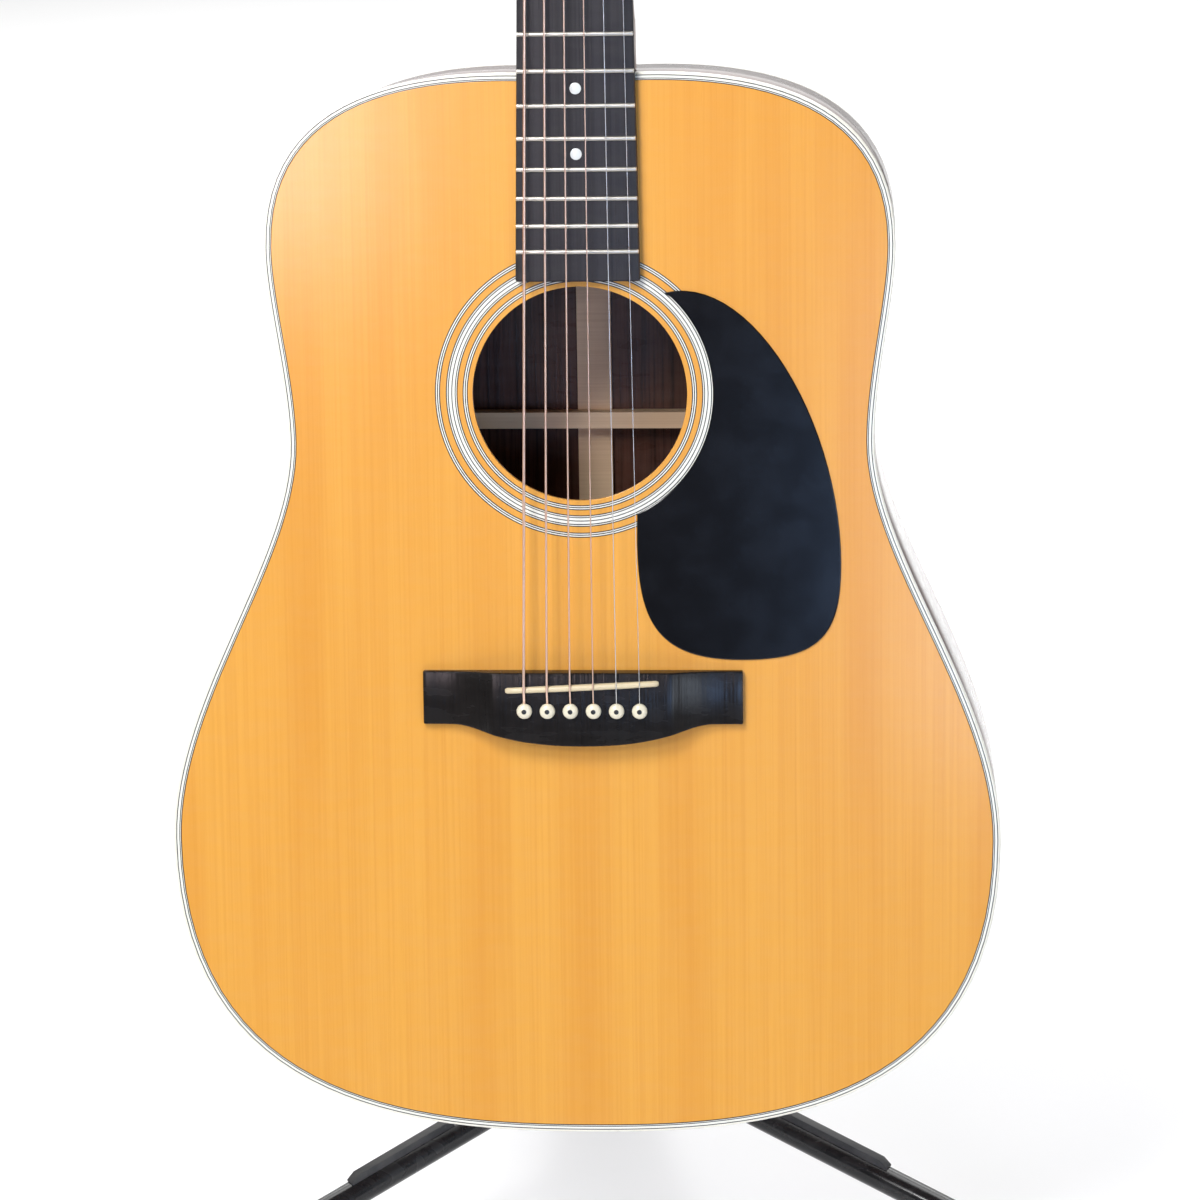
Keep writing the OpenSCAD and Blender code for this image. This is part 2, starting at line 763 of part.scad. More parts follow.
// x runs along the leg from the column axis
module along_leg(turn) {
  at_leg(turn) rotate([0, leg_dip, 0]) children();
}
module leg_hub() {
  color([0.07, 0.07, 0.07]) difference() {
    union() {
      in_row() translate([0, 0, hub_z + hub_low]) cylinder(h = hub_high - hub_low, r = hub_r);
      for (turn = [left_turn, right_turn, rear_turn])
        at_leg(turn) for (side = [-1, 1])
          translate([0, side * (ear_gap + ear_t) / 2 - ear_t / 2, -pivot_drop]) {
            translate([0, 0, -11]) cube([pivot_r, ear_t, 22]);
            translate([pivot_r, ear_t, 0]) rotate([90, 0, 0]) cylinder(h = ear_t, r = 11);
          }
    }
    in_row() translate([0, 0, hub_z + hub_low + 6]) cylinder(h = 100, r = column_r);
    for (turn = [left_turn, right_turn, rear_turn])
      at_leg(turn) translate([hub_r + 0.5, -ear_gap / 2, -40]) cube([30, ear_gap, 60]);
  }
  color([0.6, 0.6, 0.62]) for (turn = [left_turn, right_turn, rear_turn])
    at_leg(turn) translate([pivot_r, ear_gap / 2 + ear_t, -pivot_drop]) rotate([90, 0, 0])
      cylinder(h = ear_gap + 2 * ear_t, r = leg_pin_r);
}
module leg(turn) {
  start = pivot_r / cos(leg_dip);
  color([0.05, 0.05, 0.055]) along_leg(turn) difference() {
    union() {
      translate([start, 0, 0]) sphere(r = leg_r);
      translate([start, 0, 0]) rotate([0, 90, 0]) cylinder(h = leg_len - start, r = leg_r);
    }
    translate([start + 14, 0, 0]) rotate([0, 90, 0]) cylinder(h = leg_len, r = leg_r - tube_wall);
    translate([start, 20, 0]) rotate([90, 0, 0]) cylinder(h = 40, r = leg_pin_r + 0.05);
  }
}
module leg_left() leg(left_turn);
module leg_right() leg(right_turn);
module leg_rear() leg(rear_turn);
pad_from = 102;
pad_to = 166;
pad_w = 6;
pad_rise = 3.4;
module leg_pad(turn) {
  color([0.22, 0.22, 0.22]) along_leg(turn) difference() {
    translate([0, pad_w / 2, 0]) rotate([90, 0, 0]) linear_extrude(pad_w) polygon([
      [pad_from, 2], [pad_to, 2], [pad_to, leg_r + 1], [pad_to - 5, leg_r + pad_rise],
      [pad_from + 5, leg_r + pad_rise], [pad_from, leg_r + 1]
    ]);
    translate([pad_from - 5, 0, 0]) rotate([0, 90, 0]) cylinder(h = 90, r = leg_r);
  }
}
module leg_pad_left() leg_pad(left_turn);
module leg_pad_right() leg_pad(right_turn);
module leg_pad_rear() leg_pad(rear_turn);
foot_r = 12.5;
module foot(turn) {
  color([0.08, 0.08, 0.08]) difference() {
    along_leg(turn) union() {
      translate([leg_len, 0, 0]) sphere(r = foot_r);
      translate([leg_len - 34, 0, 0]) rotate([0, 90, 0]) cylinder(h = 34, r = 9.5);
    }
    along_leg(turn) rotate([0, 90, 0]) cylinder(h = leg_len, r = leg_r);
    translate([-500, -500, -40]) cube([1000, 1000, 40]);
  }
}
module foot_left() foot(left_turn);
module foot_right() foot(right_turn);
module foot_rear() foot(rear_turn);

rod_r = column_r - tube_wall - 0.05;
rod_low = 330;
module column_tube() {
  color([0.05, 0.05, 0.055]) in_row() difference() {
    translate([0, 0, hub_z + hub_low + 6]) cylinder(h = clamp_z - hub_z - hub_low - 6, r = column_r);
    translate([0, 0, hub_z + hub_low]) cylinder(h = clamp_z, r = column_r - tube_wall);
  }
}
// The arms clear the underside of the headstock's flare by about half a millimetre.
yoke_z = hub_z + nut_above - 1.2;
module column_rod() {
  color([0.05, 0.05, 0.055]) in_row() difference() {
    translate([0, 0, rod_low]) cylinder(h = yoke_z + 10 - rod_low, r = rod_r);
    translate([0, 0, rod_low - 1]) cylinder(h = yoke_z, r = rod_r - 1.5);
  }
}
clamp_r = 19;
clamp_h = 44;
clamp_drop = 24;
screw_r = 3;
module height_clamp() {
  color([0.09, 0.09, 0.09]) in_row() difference() {
    union() {
      translate([0, 0, clamp_z - clamp_drop]) cylinder(h = clamp_h, r = clamp_r);
      translate([-9, 0, clamp_z]) cube([18, 30, 18]);
    }
    translate([0, 0, clamp_z - clamp_drop - 1]) cylinder(h = clamp_drop + 1, r = column_r);
    translate([0, 0, clamp_z - 1]) cylinder(h = clamp_h, r = rod_r + 0.3);
    translate([0, 0, clamp_z + 9]) rotate([-90, 0, 0]) cylinder(h = 40, r = screw_r + 0.05);
  }
}
knob_r = 16;
module clamp_knob() {
  color([0.07, 0.07, 0.07]) in_row() translate([0, 0, clamp_z + 9]) rotate([-90, 0, 0]) {
    translate([0, 0, rod_r + 0.6]) cylinder(h = 30, r = screw_r);
    translate([0, 0, 31]) cylinder(h = 5, r = 9);
    translate([0, 0, 36]) difference() {
      cylinder(h = 14, r = knob_r);
      for (a = [0:60:300])
        rotate([0, 0, a]) translate([knob_r + 3, 0, -1]) cylinder(h = 16, r = 6);
    }
  }
}
// The padded bar touches the arched back
rest_above_hub = 159;
rest_half = 80;
rest_pad_r = 12;
rest_bar_r = 5;
rest_gap = 0.4;
sphere_y = -nut_ahead + back_centre[0] * sin(lean) - back_centre[1] * cos(lean);
sphere_z = hub_z + nut_above + back_centre[0] * cos(lean) + back_centre[1] * sin(lean);
rest_z = hub_z + rest_above_hub;
rest_reach = back_radius + rest_pad_r + rest_gap;
rest_y = sphere_y + sqrt(rest_reach * rest_reach - pow(rest_z - sphere_z, 2));
module rest_arm() {
  color([0.07, 0.07, 0.07]) in_row() translate([0, 0, rest_z]) difference() {
    union() {
      translate([0, 0, -14]) cylinder(h = 28, r = 17);
      translate([0, rest_y, 0]) rotate([-90, 0, 0]) cylinder(h = -rest_y, r = 6);
      translate([-rest_half, rest_y, 0]) rotate([0, 90, 0]) cylinder(h = 2 * rest_half, r = rest_bar_r);
    }
    translate([0, 0, -50]) cylinder(h = 100, r = column_r);
  }
}
module rest_pads() {
  color([0.12, 0.12, 0.12]) in_row() translate([0, rest_y, rest_z]) for (side = [-1, 1])
    translate([side * 45, 0, 0]) rotate([0, 90, 0]) difference() {
      translate([0, 0, -37]) cylinder(h = 74, r = rest_pad_r);
      translate([0, 0, -40]) cylinder(h = 80, r = rest_bar_r);
    }
}
arm_x = 32.5;
arm_r = 5;
cross_y = -45;
arm_tip = -120;
tip_rise = 16;
sleeve_r = 8.3;
module yoke() {
  color([0.06, 0.06, 0.06]) in_row() translate([0, 0, yoke_z]) {
    difference() {
      union() {
        translate([0, 0, -16]) cylinder(h = 30, r = 15);
        translate([0, cross_y, 0]) rotate([-90, 0, 0]) cylinder(h = -cross_y, r = 7);
      }
      translate([0, 0, -30]) cylinder(h = 40, r = rod_r);
    }
    translate([-arm_x, cross_y, 0]) rotate([0, 90, 0]) cylinder(h = 2 * arm_x, r = arm_r);
    for (side = [-1, 1]) translate([side * arm_x, 0, 0]) {
      translate([0, cross_y, 0]) sphere(r = arm_r);
      translate([0, arm_tip, 0]) rotate([-90, 0, 0]) cylinder(h = cross_y - arm_tip, r = arm_r);
      translate([0, arm_tip + 4, 0]) rotate([-90, 0, 0])
        cylinder(h = cross_y - arm_tip - 12, r = sleeve_r);
      translate([0, arm_tip, 0]) sphere(r = sleeve_r);
      translate([0, arm_tip, 0]) cylinder(h = tip_rise, r = 6.5);
      translate([0, arm_tip, tip_rise]) sphere(r = 6.5);
    }
  }
}

soundboard();
back_plate();
rim_bass();
rim_treble();
bindings();
purfling();
rosette();
tail_graft();
linings();
neck_block();
tail_block();
x_brace();
top_braces();
bridge_plate();
back_braces();
neck();
heel_cap();
truss_rod();
fingerboard();
frets();
position_dots();
nut();
headstock_veneer();
bridge();
saddle();
bridge_pins();
strings();
pickguard();
end_pin();
tuner_housings();
tuner_bushings();
tuner_key_1();
tuner_key_2();
tuner_key_3();
tuner_key_4();
tuner_key_5();
tuner_key_6();
tuner_post_1();
tuner_post_2();
tuner_post_3();
tuner_post_4();
tuner_post_5();
tuner_post_6();
leg_hub();
leg_left();
leg_right();
leg_rear();
leg_pad_left();
leg_pad_right();
leg_pad_rear();
foot_left();
foot_right();
foot_rear();
column_tube();
column_rod();
height_clamp();
clamp_knob();
rest_arm();
rest_pads();
yoke();
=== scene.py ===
# %% [markdown]
# # A flat-top guitar on its folding stand
# The guitar leans back in a stand: its neck hangs in a padded fork, and its back rests on a
# padded bar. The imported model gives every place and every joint. This lesson builds the finished
# surfaces around it, one piece at a time: first the tools, then the sound box, the neck, the
# strings and the stand, and last the studio.

# %% Load the frame
import json
import math
import bmesh
import bpy
from mathutils import Matrix, Vector, noise as field

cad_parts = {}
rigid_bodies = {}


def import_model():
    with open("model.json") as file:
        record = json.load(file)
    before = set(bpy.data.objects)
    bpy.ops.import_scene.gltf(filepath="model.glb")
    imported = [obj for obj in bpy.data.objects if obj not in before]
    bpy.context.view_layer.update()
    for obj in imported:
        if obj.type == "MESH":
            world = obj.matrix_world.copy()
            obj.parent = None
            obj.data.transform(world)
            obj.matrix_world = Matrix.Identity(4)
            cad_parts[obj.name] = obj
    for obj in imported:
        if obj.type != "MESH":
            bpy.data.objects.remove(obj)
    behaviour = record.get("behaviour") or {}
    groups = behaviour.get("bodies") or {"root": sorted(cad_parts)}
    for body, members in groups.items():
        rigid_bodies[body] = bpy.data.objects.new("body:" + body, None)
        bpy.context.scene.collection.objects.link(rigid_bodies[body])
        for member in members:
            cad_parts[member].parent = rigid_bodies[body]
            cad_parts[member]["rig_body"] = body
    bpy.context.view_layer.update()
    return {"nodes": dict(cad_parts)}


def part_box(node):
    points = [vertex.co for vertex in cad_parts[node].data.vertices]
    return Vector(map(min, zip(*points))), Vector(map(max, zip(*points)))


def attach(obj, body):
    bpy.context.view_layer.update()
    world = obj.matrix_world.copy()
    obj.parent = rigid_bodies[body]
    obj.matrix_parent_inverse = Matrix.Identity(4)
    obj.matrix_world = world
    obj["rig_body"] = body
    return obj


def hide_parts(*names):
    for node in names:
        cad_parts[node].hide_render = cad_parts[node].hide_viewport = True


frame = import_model()
nodes = frame["nodes"]

# %% [markdown]
# ## Two frames to work in
# A guitar maker measures from the nut: x to the treble side, y up the neck and z out of the top,
# in millimetres. The guitar leans back by eight degrees, so one matrix turns those measures into
# the room's metres. The headstock tilts back further, so it gets a matrix of its own. Both start
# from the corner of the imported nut, so they follow the model if it moves.

# %% Guitar and headstock frames
MM = 0.001
LEAN = math.radians(8)
HEAD_TILT = math.radians(15)
NUT_T = 4.8
HEAD_RISE = 2
nut_low, nut_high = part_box("nut")
origin = Vector(((nut_low.x + nut_high.x) / 2, nut_high.y - math.sin(LEAN) * NUT_T * MM, nut_low.z))
GUITAR = Matrix.Translation(origin) @ Matrix.Rotation(math.pi / 2 - LEAN, 4, "X") @ Matrix.Scale(MM, 4)
HEAD = GUITAR @ Matrix.Translation((0, NUT_T, HEAD_RISE)) @ Matrix.Rotation(-HEAD_TILT, 4, "X")
ROOM = Matrix.Scale(MM, 4)
print("nut corner at", [round(c, 4) for c in origin])

# %% [markdown]
# ## Turning a bmesh into a finished piece
# Every new piece goes through one function. It points the faces outwards, moves the shape to its
# place, shades it smooth except across real edges, gives it its finish, says which body it rides
# on and hides the packed nodes it stands for.

# %% The piece helper
def mark_edges(bm, sharp):
    for face in bm.faces:
        face.smooth = True
    for edge in bm.edges:
        if len(edge.link_faces) == 2 and edge.calc_face_angle(0) > math.radians(sharp):
            edge.smooth = False


def piece(name, bm, skins, body="guitar", place=GUITAR, stands_for=(), sharp=32):
    bmesh.ops.recalc_face_normals(bm, faces=bm.faces)
    bmesh.ops.transform(bm, matrix=place, verts=bm.verts)
    mark_edges(bm, sharp)
    mesh = bpy.data.meshes.new(name)
    bm.to_mesh(mesh)
    bm.free()
    for skin in skins if isinstance(skins, list) else [skins]:
        mesh.materials.append(skin)
    made = bpy.data.objects.new(name, mesh)
    bpy.context.scene.collection.objects.link(made)
    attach(made, body)
    if stands_for:
        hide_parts(*stands_for)
    print(f"{name}: {len(mesh.polygons)} faces on {body}")
    return made


# %% [markdown]
# ## Four ways to make a shape
# Most of a guitar is an outline given a thickness, or a section carried along a line. `wire` draws
# an outline, `plate` fills and extrudes it, `loft` carries one outline to the next by extruding
# its edges, and `turned` spins a profile about an axis as a lathe does.

# %% Shape helpers
def wire(bm, points, closed=True):
    verts = [bm.verts.new(p) for p in points]
    ends = verts[1:] + verts[:1] if closed else verts[1:]
    return [bm.edges.new(pair) for pair in zip(verts, ends)]


def cap(bm, edges):
    bmesh.ops.edgeloop_fill(bm, edges=edges)


def loft(bm, rings, closed=True, capped=True):
    edges = wire(bm, rings[0], closed)
    if capped:
        first = list(edges)
    for before, after in zip(rings, rings[1:]):
        target = {tuple(Vector(p)): q for p, q in zip(before, after)}
        made = bmesh.ops.extrude_edge_only(bm, edges=edges)["geom"]
        fresh = {g for g in made if isinstance(g, bmesh.types.BMVert)}
        for vert in fresh:
            vert.co = target[tuple(vert.co)]
        edges = [g for g in made if isinstance(g, bmesh.types.BMEdge) and set(g.verts) <= fresh]
    if capped:
        cap(bm, first)
        cap(bm, edges)


def hoop(bm, loops):
    """A closed band: its section is the list of loops, which joins up with itself."""
    old = set(bm.verts)
    loft(bm, loops + [loops[0]], capped=False)
    fresh = [v for v in bm.verts if v not in old]
    bmesh.ops.remove_doubles(bm, verts=fresh, dist=1e-5)


def plate(bm, loops, low, high):
    edges = [e for points in loops for e in wire(bm, [(p[0], p[1], low) for p in points])]
    filled = bmesh.ops.triangle_fill(bm, edges=edges, use_beauty=True, normal=(0, 0, 1))["geom"]
    faces = [g for g in filled if isinstance(g, bmesh.types.BMFace)]
    lifted = bmesh.ops.extrude_face_region(bm, geom=faces)["geom"]
    verts = [g for g in lifted if isinstance(g, bmesh.types.BMVert)]
    bmesh.ops.translate(bm, vec=(0, 0, high - low), verts=verts)


def turned(bm, profile, place=Matrix.Identity(4), steps=32):
    """Spin a profile of [radius, height] pairs about the local z axis."""
    old = set(bm.verts)
    edges = wire(bm, [(r, 0, h) for r, h in profile], closed=False)
    geom = edges + [v for v in bm.verts if v not in old]
    bmesh.ops.spin(bm, geom=geom, cent=(0, 0, 0), axis=(0, 0, 1), angle=math.tau, steps=steps,
                   use_merge=True, use_duplicate=False)
    fresh = [v for v in bm.verts if v not in old]
    bmesh.ops.remove_doubles(bm, verts=fresh, dist=1e-5)
    fresh = [v for v in bm.verts if v not in old]
    bmesh.ops.transform(bm, matrix=place, verts=fresh)


def rounded(bm, width, segments=2, sharp=40):
    """Break every edge sharper than a given angle, as sandpaper or a mould does."""
    edges = [e for e in bm.edges if len(e.link_faces) == 2 and e.calc_face_angle(0) > math.radians(sharp)]
    bmesh.ops.bevel(bm, geom=edges, offset=width, offset_type="OFFSET", affect="EDGES",
                    segments=segments, profile=0.5, material=-1, clamp_overlap=True)


def circle(radius, count, turn=0.0):
    angles = [turn + math.tau * i / count for i in range(count)]
    return [(radius * math.cos(a), radius * math.sin(a)) for a in angles]


def tube(bm, path, radii, sides=12, capped=True):
    """A round bar along a path. Each ring's side direction is the last one's, kept square."""
    rings = []
    across = Vector((1, 0, 0))
    for i, point in enumerate(path):
        ahead = (path[min(i + 1, len(path) - 1)] - path[max(i - 1, 0)]).normalized()
        across = (across - across.dot(ahead) * ahead).normalized()
        other = ahead.cross(across)
        radius = radii[i] if isinstance(radii, list) else radii
        rings.append([point + x * across + y * other for x, y in circle(radius, sides)])
    loft(bm, rings, capped=capped)


# %% [markdown]
# ## Node groups that several finishes share
# A node group is a small machine with named sockets, used by many materials. `grain` draws
# straight-grained wood: fine growth lines, wider bands of colour and short pores. `handling` gives
# what years of use leave behind: soft cloudy patches, fine hairline marks and settled dust.

# %% The grain group
def group(name, inputs, outputs):
    made = bpy.data.node_groups.new(name, "ShaderNodeTree")
    for label, kind, value in inputs:
        socket = made.interface.new_socket(name=label, in_out="INPUT", socket_type=kind)
        if value is not None:
            socket.default_value = value
    for label, kind in outputs:
        made.interface.new_socket(name=label, in_out="OUTPUT", socket_type=kind)
    return made, made.nodes.new("NodeGroupInput").outputs, made.nodes.new("NodeGroupOutput").inputs


def blend_colours(tree, factor, a, b, mode="MIX"):
    """A colour Mix node, each input a socket, a colour or a number; returns its result socket."""
    mix = tree.nodes.new("ShaderNodeMix")
    mix.data_type = "RGBA"
    mix.blend_type = mode
    for index, value in ((0, factor), (6, a), (7, b)):
        if isinstance(value, bpy.types.NodeSocket):
            tree.links.new(value, mix.inputs[index])
        else:
            mix.inputs[index].default_value = value
    return mix.outputs[2]


def sums(tree, operation, a, b):
    """A Math node, each input a socket or a number; returns its result socket."""
    node = tree.nodes.new("ShaderNodeMath")
    node.operation = operation
    for index, value in enumerate((a, b)):
        if isinstance(value, bpy.types.NodeSocket):
            tree.links.new(value, node.inputs[index])
        else:
            node.inputs[index].default_value = value
    return node.outputs[0]


def ramp(tree, value, low, high):
    """Stretch the part of a value between low and high to run from 0 to 1."""
    node = tree.nodes.new("ShaderNodeMapRange")
    node.interpolation_type = "SMOOTHSTEP"
    tree.links.new(value, node.inputs["Value"])
    node.inputs["From Min"].default_value = low
    node.inputs["From Max"].default_value = high
    return node.outputs["Result"]


def noise(tree, vector, scale, stretch=(1, 1, 1), detail=3.0, offset=(0, 0, 0)):
    """Cloudy noise on a vector that is first stretched and moved."""
    turn = tree.nodes.new("ShaderNodeMapping")
    turn.inputs["Scale"].default_value = stretch
    turn.inputs["Location"].default_value = offset
    tree.links.new(vector, turn.inputs["Vector"])
    node = tree.nodes.new("ShaderNodeTexNoise")
    node.inputs["Scale"].default_value = scale
    node.inputs["Detail"].default_value = detail
    tree.links.new(turn.outputs["Vector"], node.inputs["Vector"])
    return node.outputs["Fac"]


def make_grain():
    tree, given, out = group("grain", [
        ("Vector", "NodeSocketVector", None),
        ("Light", "NodeSocketColor", (0.8, 0.6, 0.4, 1)),
        ("Dark", "NodeSocketColor", (0.5, 0.3, 0.15, 1)),
        ("Streak", "NodeSocketColor", (0.6, 0.4, 0.2, 1)),
        ("Line Strength", "NodeSocketFloat", 0.5),
        ("Streak Strength", "NodeSocketFloat", 0.4),
        ("Pore Strength", "NodeSocketFloat", 0.2),
    ], [("Color", "NodeSocketColor"), ("Height", "NodeSocketFloat")])
    at = given["Vector"]
    # The vector comes in with x across the grain and y along it, in metres.
    lines = ramp(tree, noise(tree, at, 1.0, (820, 5, 260), 2.0), 0.38, 0.68)
    wide = ramp(tree, noise(tree, at, 1.0, (240, 2.2, 90), 2.0, (3, 0, 0)), 0.4, 0.72)
    bands = ramp(tree, noise(tree, at, 1.0, (26, 1.6, 12), 3.0, (7, 2, 0)), 0.35, 0.75)
    pores = ramp(tree, noise(tree, at, 1.0, (1500, 60, 600), 1.0, (1, 5, 0)), 0.66, 0.78)
    line_mix = sums(tree, "MULTIPLY", sums(tree, "ADD", sums(tree, "MULTIPLY", lines, 0.6),
                                           sums(tree, "MULTIPLY", wide, 0.4)), given["Line Strength"])
    streak_mix = sums(tree, "MULTIPLY", bands, given["Streak Strength"])
    pore_mix = sums(tree, "MULTIPLY", pores, given["Pore Strength"])
    colour = blend_colours(tree, line_mix, given["Light"], given["Dark"])
    colour = blend_colours(tree, streak_mix, colour, given["Streak"])
    colour = blend_colours(tree, pore_mix, colour, given["Dark"])
    tree.links.new(colour, out["Color"])
    tree.links.new(sums(tree, "ADD", lines, pores), out["Height"])
    return tree


grain = make_grain()
print("group", grain.name, "has", len(grain.nodes), "nodes")

# %% The handling group
def make_handling():
    tree, given, out = group("handling", [
        ("Vector", "NodeSocketVector", None),
        ("Color", "NodeSocketColor", (0.5, 0.5, 0.5, 1)),
        ("Dust", "NodeSocketColor", (0.6, 0.58, 0.55, 1)),
        ("Dust Amount", "NodeSocketFloat", 0.05),
        ("Roughness", "NodeSocketFloat", 0.4),
        ("Unevenness", "NodeSocketFloat", 0.1),
    ], [("Color", "NodeSocketColor"), ("Roughness", "NodeSocketFloat"), ("Marks", "NodeSocketFloat")])
    at = given["Vector"]
    clouds = noise(tree, at, 14.0, detail=4.0)
    smears = ramp(tree, noise(tree, at, 60.0, (1, 3, 1), 5.0, (2, 1, 4)), 0.35, 0.7)
    marks = ramp(tree, noise(tree, at, 1.0, (900, 45, 900), 2.0, (5, 5, 5)), 0.68, 0.74)
    specks = ramp(tree, noise(tree, at, 1900.0, detail=1.0), 0.69, 0.76)
    dusty = sums(tree, "MULTIPLY", sums(tree, "ADD", sums(tree, "MULTIPLY", smears, 0.5), specks),
                 given["Dust Amount"])
    tree.links.new(blend_colours(tree, dusty, given["Color"], given["Dust"]), out["Color"])
    uneven = sums(tree, "MULTIPLY", sums(tree, "SUBTRACT", sums(tree, "ADD", clouds, smears), 0.9),
                  given["Unevenness"])
    tree.links.new(sums(tree, "ADD", given["Roughness"], uneven), out["Roughness"])
    tree.links.new(marks, out["Marks"])
    return tree


handling = make_handling()
print("group", handling.name, "has", len(handling.nodes), "nodes")

# %% [markdown]
# ## From groups to finishes
# Each material keeps its own Principled shader, and the groups feed its colour, roughness and
# bump. Wood on the guitar has to know where it is on the instrument, so a Mapping node turns the
# piece's object coordinates back into the guitar's frame: x across the top, y up the neck.

# %% Material helpers
UNTURN = GUITAR.to_3x3().normalized().transposed()
UNTURN_AT = -(UNTURN @ origin)


def new_skin(name, roughness=0.4, metallic=0.0, **extra):
    skin = bpy.data.materials.new(name + "_finish")
    skin.use_nodes = True
    tree = skin.node_tree
    shader = tree.nodes["Principled BSDF"]
    shader.inputs["Roughness"].default_value = roughness
    shader.inputs["Metallic"].default_value = metallic
    for key, value in extra.items():
        shader.inputs[key.replace("_", " ")].default_value = value
    return skin, tree, shader


def room_place(tree):
    return tree.nodes.new("ShaderNodeTexCoord").outputs["Object"]


def guitar_place(tree, scale=(1, 1, 1)):
    turn = tree.nodes.new("ShaderNodeMapping")
    turn.inputs["Rotation"].default_value = (LEAN - math.pi / 2, 0, 0)
    turn.inputs["Location"].default_value = UNTURN_AT
    tree.links.new(room_place(tree), turn.inputs["Vector"])
    if scale == (1, 1, 1):
        return turn.outputs["Vector"]
    sized = tree.nodes.new("ShaderNodeMapping")
    sized.inputs["Scale"].default_value = scale
    tree.links.new(turn.outputs["Vector"], sized.inputs["Vector"])
    return sized.outputs["Vector"]


def reorder(tree, vector, order):
    """Swap a vector's parts round; an upper-case letter takes the part's size without its sign."""
    split = tree.nodes.new("ShaderNodeSeparateXYZ")
    join = tree.nodes.new("ShaderNodeCombineXYZ")
    tree.links.new(vector, split.inputs[0])
    for index, letter in enumerate(order):
        value = split.outputs["xyz".index(letter.lower())]
        if letter.isupper():
            value = sums(tree, "ABSOLUTE", value, 0.0)
        tree.links.new(value, join.inputs[index])
    return join.outputs[0]


def use_bump(tree, shader, height, distance, strength=1.0):
    bump = tree.nodes.new("ShaderNodeBump")
    bump.inputs["Distance"].default_value = distance
    bump.inputs["Strength"].default_value = strength
    tree.links.new(height, bump.inputs["Height"])
    tree.links.new(bump.outputs["Normal"], shader.inputs["Normal"])


def use_handling(tree, shader, vector, colour, roughness, dust=0.05, uneven=0.1, tint=(0.55, 0.53, 0.5, 1)):
    node = tree.nodes.new("ShaderNodeGroup")
    node.node_tree = handling
    tree.links.new(vector, node.inputs["Vector"])
    if isinstance(colour, bpy.types.NodeSocket):
        tree.links.new(colour, node.inputs["Color"])
    else:
        node.inputs["Color"].default_value = (*colour, 1)
    node.inputs["Dust"].default_value = tint
    node.inputs["Dust Amount"].default_value = dust
    node.inputs["Roughness"].default_value = roughness
    node.inputs["Unevenness"].default_value = uneven
    tree.links.new(node.outputs["Color"], shader.inputs["Base Color"])
    tree.links.new(node.outputs["Roughness"], shader.inputs["Roughness"])
    return node.outputs["Marks"]


def wood(name, light, dark, streak, order="xyz", lines=0.5, bands=0.4, pores=0.2, roughness=0.4,
         dust=0.03, uneven=0.08, bump=0.00003, **extra):
    skin, tree, shader = new_skin(name, roughness, **extra)
    place = guitar_place(tree)
    node = tree.nodes.new("ShaderNodeGroup")
    node.node_tree = grain
    tree.links.new(reorder(tree, place, order), node.inputs["Vector"])
    for label, colour in (("Light", light), ("Dark", dark), ("Streak", streak)):
        node.inputs[label].default_value = (*colour, 1)
    node.inputs["Line Strength"].default_value = lines
    node.inputs["Streak Strength"].default_value = bands
    node.inputs["Pore Strength"].default_value = pores
    use_handling(tree, shader, place, node.outputs["Color"], roughness, dust, uneven)
    use_bump(tree, shader, node.outputs["Height"], bump)
    return skin


def plain(name, colour, roughness, dust=0.05, uneven=0.12, bump=0.00002, metallic=0.0, **extra):
    skin, tree, shader = new_skin(name, roughness, metallic, **extra)
    place = room_place(tree)
    marks = use_handling(tree, shader, place, colour, roughness, dust, uneven)
    use_bump(tree, shader, marks, bump, 0.6)
    return skin


# %% [markdown]
# ## The woods
# The top is spruce that has aged to amber. Its two halves are cut from one board and opened like a
# book, so the grain mirrors about the centre line: the pattern reads the distance from the centre
# and not which side it is on. The back and sides are rosewood, the neck mahogany, the fingerboard
# and bridge ebony. Lacquer is a clear coat over the colour.

# %% Wood finishes
LACQUER = {"Coat_Weight": 0.8, "Coat_Roughness": 0.17, "Specular_IOR_Level": 0.15}
spruce = wood("spruce", (0.79, 0.38, 0.062), (0.64, 0.26, 0.032), (0.66, 0.255, 0.026), "Xyz",
              lines=0.36, bands=0.5, pores=0.1, roughness=0.4, **LACQUER)
brace_spruce = wood("brace_spruce", (0.90, 0.66, 0.44), (0.70, 0.46, 0.27), (0.78, 0.54, 0.34), "yxz",
                    lines=0.5, bands=0.3, roughness=0.65)
rosewood = wood("rosewood", (0.095, 0.042, 0.030), (0.018, 0.008, 0.007), (0.16, 0.062, 0.036), "Xyz",
                lines=0.9, bands=0.55, pores=0.5, roughness=0.3, **LACQUER)
rosewood_side = wood("rosewood_side", (0.095, 0.042, 0.030), (0.018, 0.008, 0.007), (0.16, 0.062, 0.036),
                     "zyx", lines=0.9, bands=0.55, pores=0.5, roughness=0.3, **LACQUER)
mahogany = wood("mahogany", (0.26, 0.092, 0.040), (0.12, 0.036, 0.017), (0.2, 0.062, 0.026), "xyz",
                lines=0.5, bands=0.45, pores=0.55, roughness=0.36, Coat_Weight=0.25, Coat_Roughness=0.3)
cedar = wood("cedar", (0.42, 0.25, 0.13), (0.28, 0.14, 0.06), (0.33, 0.17, 0.08), "zyx", roughness=0.7)
maple = wood("maple", (0.62, 0.48, 0.32), (0.5, 0.35, 0.2), (0.55, 0.4, 0.25), "xyz", roughness=0.6)
ebony = wood("ebony", (0.010, 0.0085, 0.008), (0.004, 0.0035, 0.0035), (0.014, 0.011, 0.010), "xyz",
             lines=0.7, bands=0.4, pores=0.4, roughness=0.26, dust=0.01, uneven=0.08,
             Specular_IOR_Level=0.25)
